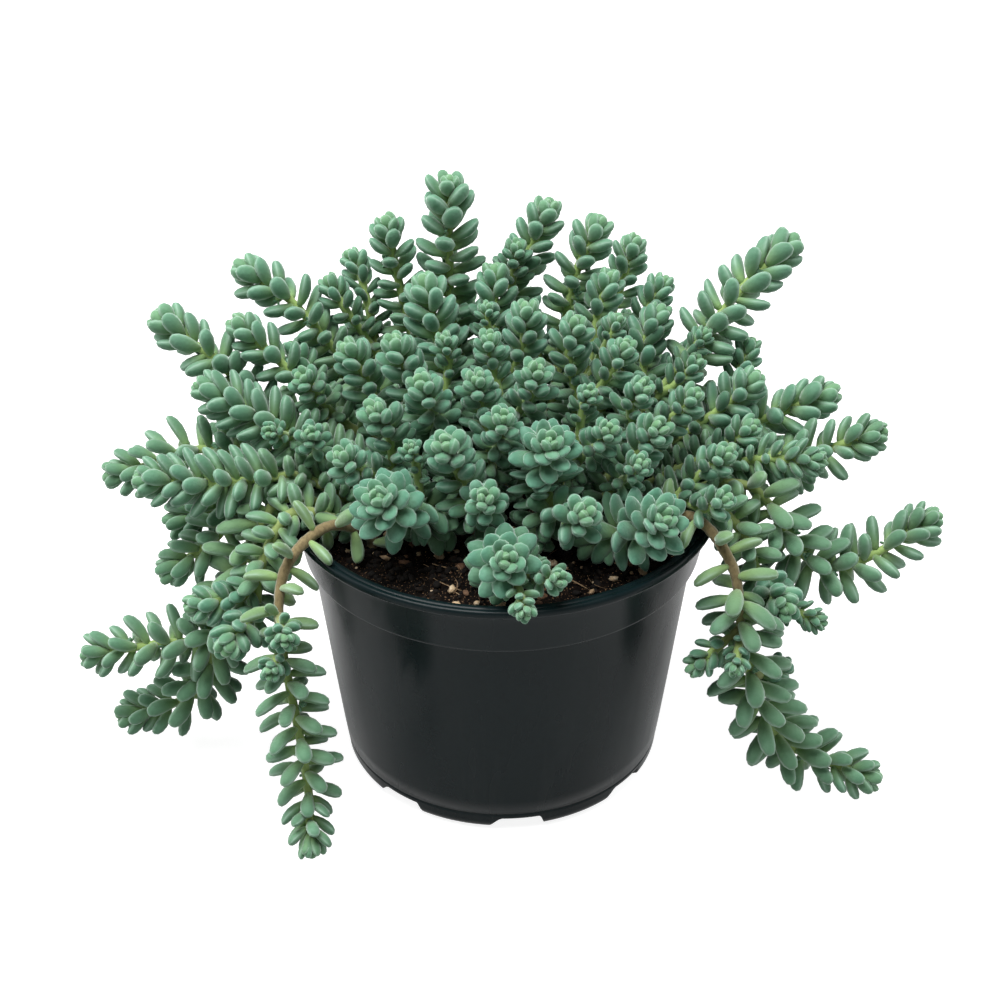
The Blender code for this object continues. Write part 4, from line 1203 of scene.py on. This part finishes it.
def clearOfPot(centres, radii):
    # above the floor and the soil, and not in the pot's wall or rim
    sizes, room = plantSizes, leafRoom
    reach = np.hypot(centres[..., 0], centres[..., 1])
    low = centres[..., 2] - radii
    inside = reach + radii < sizes["lipInner"] - room["wallGap"]
    outside = reach - radii > sizes["rimRadius"] + room["potGap"]
    blocked = (low < sizes["potHeight"] + room["potGap"]) & ~inside & ~outside
    sunk = (low < sizes["soilTop"] + room["potGap"]) & ~outside
    return ~(blocked | sunk | (low < 0.4))


def insideBox(centres, radii):
    # the whole ball within the frame's bounds, with a little room
    lowest = np.array(cadLow) / mm + leafRoom["boxGap"]
    highest = np.array(cadHigh) / mm - leafRoom["boxGap"]
    return ((centres - radii[..., None] > lowest) & (centres + radii[..., None] < highest)).all(-1)


def growLeaves(stems):
    # youngest leaves first on every branch; each takes its first variant that is free
    room = leafRoom
    most = room["mostBalls"]
    store = {"centres": np.zeros((most, 3)), "radii": np.zeros(most), "owner": np.zeros(most, int), "count": 0}
    branches = []
    for stem in stems:
        for branch in stem["branches"]:
            branch["name"] = stem["name"]
            branch["owner"] = len(branches)
            branch["leaves"] = []
            branches.append(branch)
            random = np.random.default_rng(room["firstSeed"] + branch["owner"])
            branch["plans"] = leafPlans(branch, random)
            branch["buds"] = budPlans(branch, random)
            keepBalls(store, branch["places"][::2], branch["thick"][::2], branch["owner"])
    queue = sorted(((plan["index"], branch["owner"], number) for branch in branches
                    for number, plan in enumerate(branch["plans"])), key=lambda entry: entry[:2])
    left = 0
    for _, owner, number in queue:
        branch = branches[owner]
        plan = branch["plans"][number]
        place, along, side, thick = frameAt(branch, plan["away"])
        outward = aroundAxis(along, side, plan["turn"])
        base = place + outward * thick * room["seat"]
        direction, upward, scales, centres, radii = variantsOf(base, along, outward, plan)
        free = clearOfPot(centres, radii).all(1) & insideBox(centres, radii).all(1)
        if not plan["fixed"]:
            count = store["count"]
            near = np.linalg.norm(store["centres"][:count] - base, axis=1) < plan["length"] + room["nearby"]
            near &= store["owner"][:count] != owner
            others = store["centres"][:count][near]
            gap = np.linalg.norm(centres[:, :, None] - others[None, None], axis=-1)
            gap = gap - radii[:, :, None] - store["radii"][:count][near]
            free &= (gap > -room["overlap"]).all((1, 2)) if len(others) else True
        if not free.any():
            left += 1
            continue
        pick = int(np.argmax(free))
        scale = scales[pick]
        leaf = dict(plan, base=base, direction=direction[pick], upward=upward[pick], length=plan["length"] * scale,
                    width=plan["width"] * narrowed(scale))
        branch["leaves"].append(leaf)
        keepBalls(store, centres[pick], radii[pick], owner)
    growBuds(branches)
    shadeLeaves(branches, store)
    print("leaves placed", sum(len(branch["leaves"]) for branch in branches), "left out", left)


def keepBalls(store, centres, radii, owner):
    # balls are added behind those already there
    start, end = store["count"], store["count"] + len(radii)
    store["centres"][start:end] = centres
    store["radii"][start:end] = radii
    store["owner"][start:end] = owner
    store["count"] = end


def shadeLeaves(branches, store):
    # painted shade: a leaf deep in the plant is painted darker with the number of balls that lie over it,
    # counted in a tube that runs outwards from the middle of the mound
    rule = shadeRule
    (nearest, deepest), (fewest, run) = rule["over"], rule["balls"]
    balls = store["centres"][:store["count"]]
    for branch in branches:
        if not branch["leaves"]:
            continue
        ends = np.array([leaf["base"] + leaf["direction"] * leaf["length"] * rule["place"]
                         for leaf in branch["leaves"]])
        outward = unit(ends - np.array(rule["middle"]))
        amount = growth[branch["kind"]]["shade"]
        near = balls[np.linalg.norm(balls - ends.mean(0), axis=1) < rule["nearby"]]
        toBall = near[None] - ends[:, None]
        over = (toBall * outward[:, None]).sum(-1)
        beside = np.sqrt(np.maximum((toBall ** 2).sum(-1) - over ** 2, 0.0))
        count = ((over > nearest) & (over < deepest) & (beside < rule["beside"])).sum(1)
        for leaf, number in zip(branch["leaves"], count):
            leaf["shade"] = amount * float(smooth((number - fewest) / run))


def growBuds(branches):
    # a bud's leaves stand round an axis that points outwards and a little forwards
    habit = budHabit
    for branch in branches:
        for plan in branch["buds"]:
            place, along, side, thick = frameAt(branch, plan["away"])
            axis = unit(aroundAxis(along, side, plan["budTurn"]) + habit["forward"] * along)
            radial = aroundAxis(axis, unit(np.cross(axis, along)), plan["turn"])
            up, out = math.cos(plan["lean"]), math.sin(plan["lean"])
            branch["leaves"].append(dict(
                habit["shape"], base=place + axis * (thick + habit["stand"]), direction=up * axis + out * radial,
                upward=out * axis - up * radial, **{key: plan[key] for key in ("length", "width", "young")}))


# Leaf surfaces

leafRings = np.array([0.0, 0.15, 0.38, 0.62, 0.82, 0.95])
leafSides = 8
skinValues = ("reach", "edge", "young", "old", "tint", "shade", "stem", "bark")


def leafSurfaces(leaves):
    # plump blunt leaves: half width rises from a narrow base to the widest place and falls off as an ellipse;
    # the section is a flattened circle, flatter above, and the middle line bends up with the square of its length
    base, direction, upward = (np.array([leaf[key] for leaf in leaves]) for key in ("base", "direction", "upward"))
    across = np.cross(upward, direction)
    length, width, thick, widest, apex, curl, bend = (
        np.array([leaf[key] for leaf in leaves], float)[:, None]
        for key in ("length", "width", "thick", "widest", "apex", "curl", "bend"))
    t = leafRings[None]
    rise = 0.40 + 0.60 * np.sin(0.5 * math.pi * np.clip(t / widest, 0, 1)) ** 0.9
    fall = np.maximum(1.0 - (np.clip(t - widest, 0, None) / (1.0 - widest)) ** 2, 0.0) ** apex
    half = 0.5 * width * rise * fall
    turn = 2 * math.pi * np.arange(leafSides) / leafSides
    level = np.where(np.sin(turn) > 0, 0.84, 1.0) * np.sin(turn)
    high = half * thick * (1.0 + 0.12 * (1 - t))
    lift = length * curl * t ** 2
    drift = length * bend * np.sin(math.pi * t)
    middle = (base[:, None] + direction[:, None] * (length * t)[..., None] + upward[:, None] * lift[..., None]
              + across[:, None] * drift[..., None])
    rings = (middle[:, :, None] + across[:, None, None] * (half[..., None] * np.cos(turn))[..., None]
             + upward[:, None, None] * (high[..., None] * level)[..., None])
    count = len(leaves)
    end = base + direction * length + upward * length * curl
    points = np.concatenate([rings.reshape(count, -1, 3), base[:, None], end[:, None]], 1).reshape(-1, 3)
    quads, tris = tubeFaces(len(leafRings), leafSides, count)
    reach = np.concatenate([np.repeat(leafRings, leafSides), [0.0, 1.0]])
    # painted sheen: the side points of every ring and the tip carry a pale rim that fades in from the leaf's base
    margin = np.concatenate([np.tile((np.abs(np.cos(turn)) > 0.99) * 1.0, len(leafRings)), [0.0, 0.8]])
    size = len(reach)
    values = {"reach": np.tile(reach, count), "edge": np.tile(margin * smooth(reach * 1.6), count)}
    for key in ("young", "old", "tint", "shade"):
        values[key] = np.repeat(np.array([leaf[key] for leaf in leaves], float), size)
    values["stem"] = values["bark"] = np.zeros(count * size)
    return points, quads, tris, values


def buildPlant(stems, material):
    # one piece for each stem of the frame: its tubes and all its leaves
    gap = leafRoom["skinGap"]
    for stem in stems:
        parts = []
        for branch in stem["branches"]:
            points, quads, tris, bark = stemTube(branch)
            values = dict.fromkeys(skinValues, np.zeros(len(points)))
            values.update(stem=np.ones(len(points)), bark=bark)
            parts.append((points, quads, tris, values))
            if branch["leaves"]:
                parts.append(leafSurfaces(branch["leaves"]))
        offsets = np.cumsum([0] + [len(part[0]) for part in parts[:-1]])
        points = np.concatenate([part[0] for part in parts])
        quads, tris = (np.concatenate([part[kind] + offset for part, offset in zip(parts, offsets)])
                       for kind in (1, 2))
        values = {key: np.concatenate([part[3][key] for part in parts]) for key in skinValues}
        # a guard only: the leaves already keep inside the box
        points = np.clip(points, np.array(cadLow) / mm + gap, np.array(cadHigh) / mm - gap)
        makePiece(stem["name"] + "_leafy", points, quads, tris, material, values,
                  (stem["name"],))


stems = planStems()
for stem in stems:
    for branch in stem["branches"]:
        followPath(branch)
growLeaves(stems)
buildPlant(stems, makePlantMaterial())
print("plant made")


# Floor, light and camera

def makeStage():
    # a pale floor that the camera sees nearly white, with soft shadows; to the other light it is a plain grey card
    material, tree, shader = newMaterial("paleFloor", 0.9, specular=0.1)
    shader.inputs["Base Color"].default_value = (*light["floor"], 1.0)
    glow = addNode(tree, "ShaderNodeEmission", {"Color": (1.0, 1.0, 1.0, 1.0), "Strength": light["floorGlow"]})
    both = tree.nodes.new("ShaderNodeAddShader")
    tree.links.new(glow.outputs[0], both.inputs[0])
    tree.links.new(shader.outputs[0], both.inputs[1])
    choose = tree.nodes.new("ShaderNodeMixShader")
    rays = tree.nodes.new("ShaderNodeLightPath").outputs
    mirrored = times(tree, rays["Is Glossy Ray"], light["floorMirrored"])
    tree.links.new(doMath(tree, "MAXIMUM", rays["Is Camera Ray"], mirrored), choose.inputs[0])
    tree.links.new(shader.outputs[0], choose.inputs[1])
    tree.links.new(both.outputs[0], choose.inputs[2])
    tree.links.new(choose.outputs[0], tree.nodes["Material Output"].inputs["Surface"])
    half, low = light["floorHalf"], -light["floorDrop"]
    mesh = bpy.data.meshes.new("floor")
    mesh.from_pydata([(-half, -half, low), (half, -half, low), (half, half, low), (-half, half, low)], [],
                     [(0, 1, 2, 3)])
    mesh.materials.append(material)
    addObject("floor", mesh)


def makeLamp(name, place, size, power):
    # a round soft lamp that looks at the view's target
    lamp = bpy.data.lights.new(name, "AREA")
    lamp.shape = "DISK"
    lamp.size = size
    lamp.energy = power
    holder = addObject(name, lamp)
    holder.location = place
    holder.rotation_euler = (Vector(view["target"]) - Vector(place)).to_track_quat("-Z", "Y").to_euler()


def makeLight():
    # a white room, one lamp above and one on each side
    world = bpy.data.worlds.new("studio")
    bpy.context.scene.world = world
    world.use_nodes = True
    tree = world.node_tree
    rays = tree.nodes.new("ShaderNodeLightPath").outputs
    tree.nodes["Background"].inputs["Color"].default_value = (1.0, 1.0, 1.0, 1.0)
    # dim for soft light, brighter where the plastic and the leaves mirror it, white to the eye
    mirrored = spread(tree, rays["Is Glossy Ray"], 0.0, 1.0, light["surround"], light["mirrored"])
    seen = spread(tree, rays["Is Camera Ray"], 0.0, 1.0, mirrored, 1.0)
    tree.links.new(seen, tree.nodes["Background"].inputs["Strength"])
    makeLamp("top", light["topPlace"], light["topSize"], light["topPower"])
    x, y, z = light["sidePlace"]
    for name, side in (("left", -x), ("right", x)):
        makeLamp(name, (side, y, z), light["sideSize"], light["sidePower"])


def makeCamera():
    # in front of the target, at the photograph's height and distance
    camera = addObject("camera", bpy.data.cameras.new("camera"))
    tilt = math.radians(view["elevation"])
    x, y, z = view["target"]
    camera.location = (x, y - view["distance"] * math.cos(tilt), z + view["distance"] * math.sin(tilt))
    camera.rotation_euler = (math.pi / 2 - tilt, 0.0, 0.0)
    camera.data.sensor_width = view["sensor"]
    camera.data.lens = view["focal"] / picture * view["sensor"]
    camera.data.shift_x = (picture / 2 - view["centreX"]) / picture
    camera.data.shift_y = (view["centreY"] - picture / 2) / picture
    camera.data.clip_start, camera.data.clip_end = view["clip"]
    bpy.context.scene.camera = camera


makeStage()
makeLight()
makeCamera()
bpy.context.scene.view_settings.view_transform = "Standard"
print("stage made")
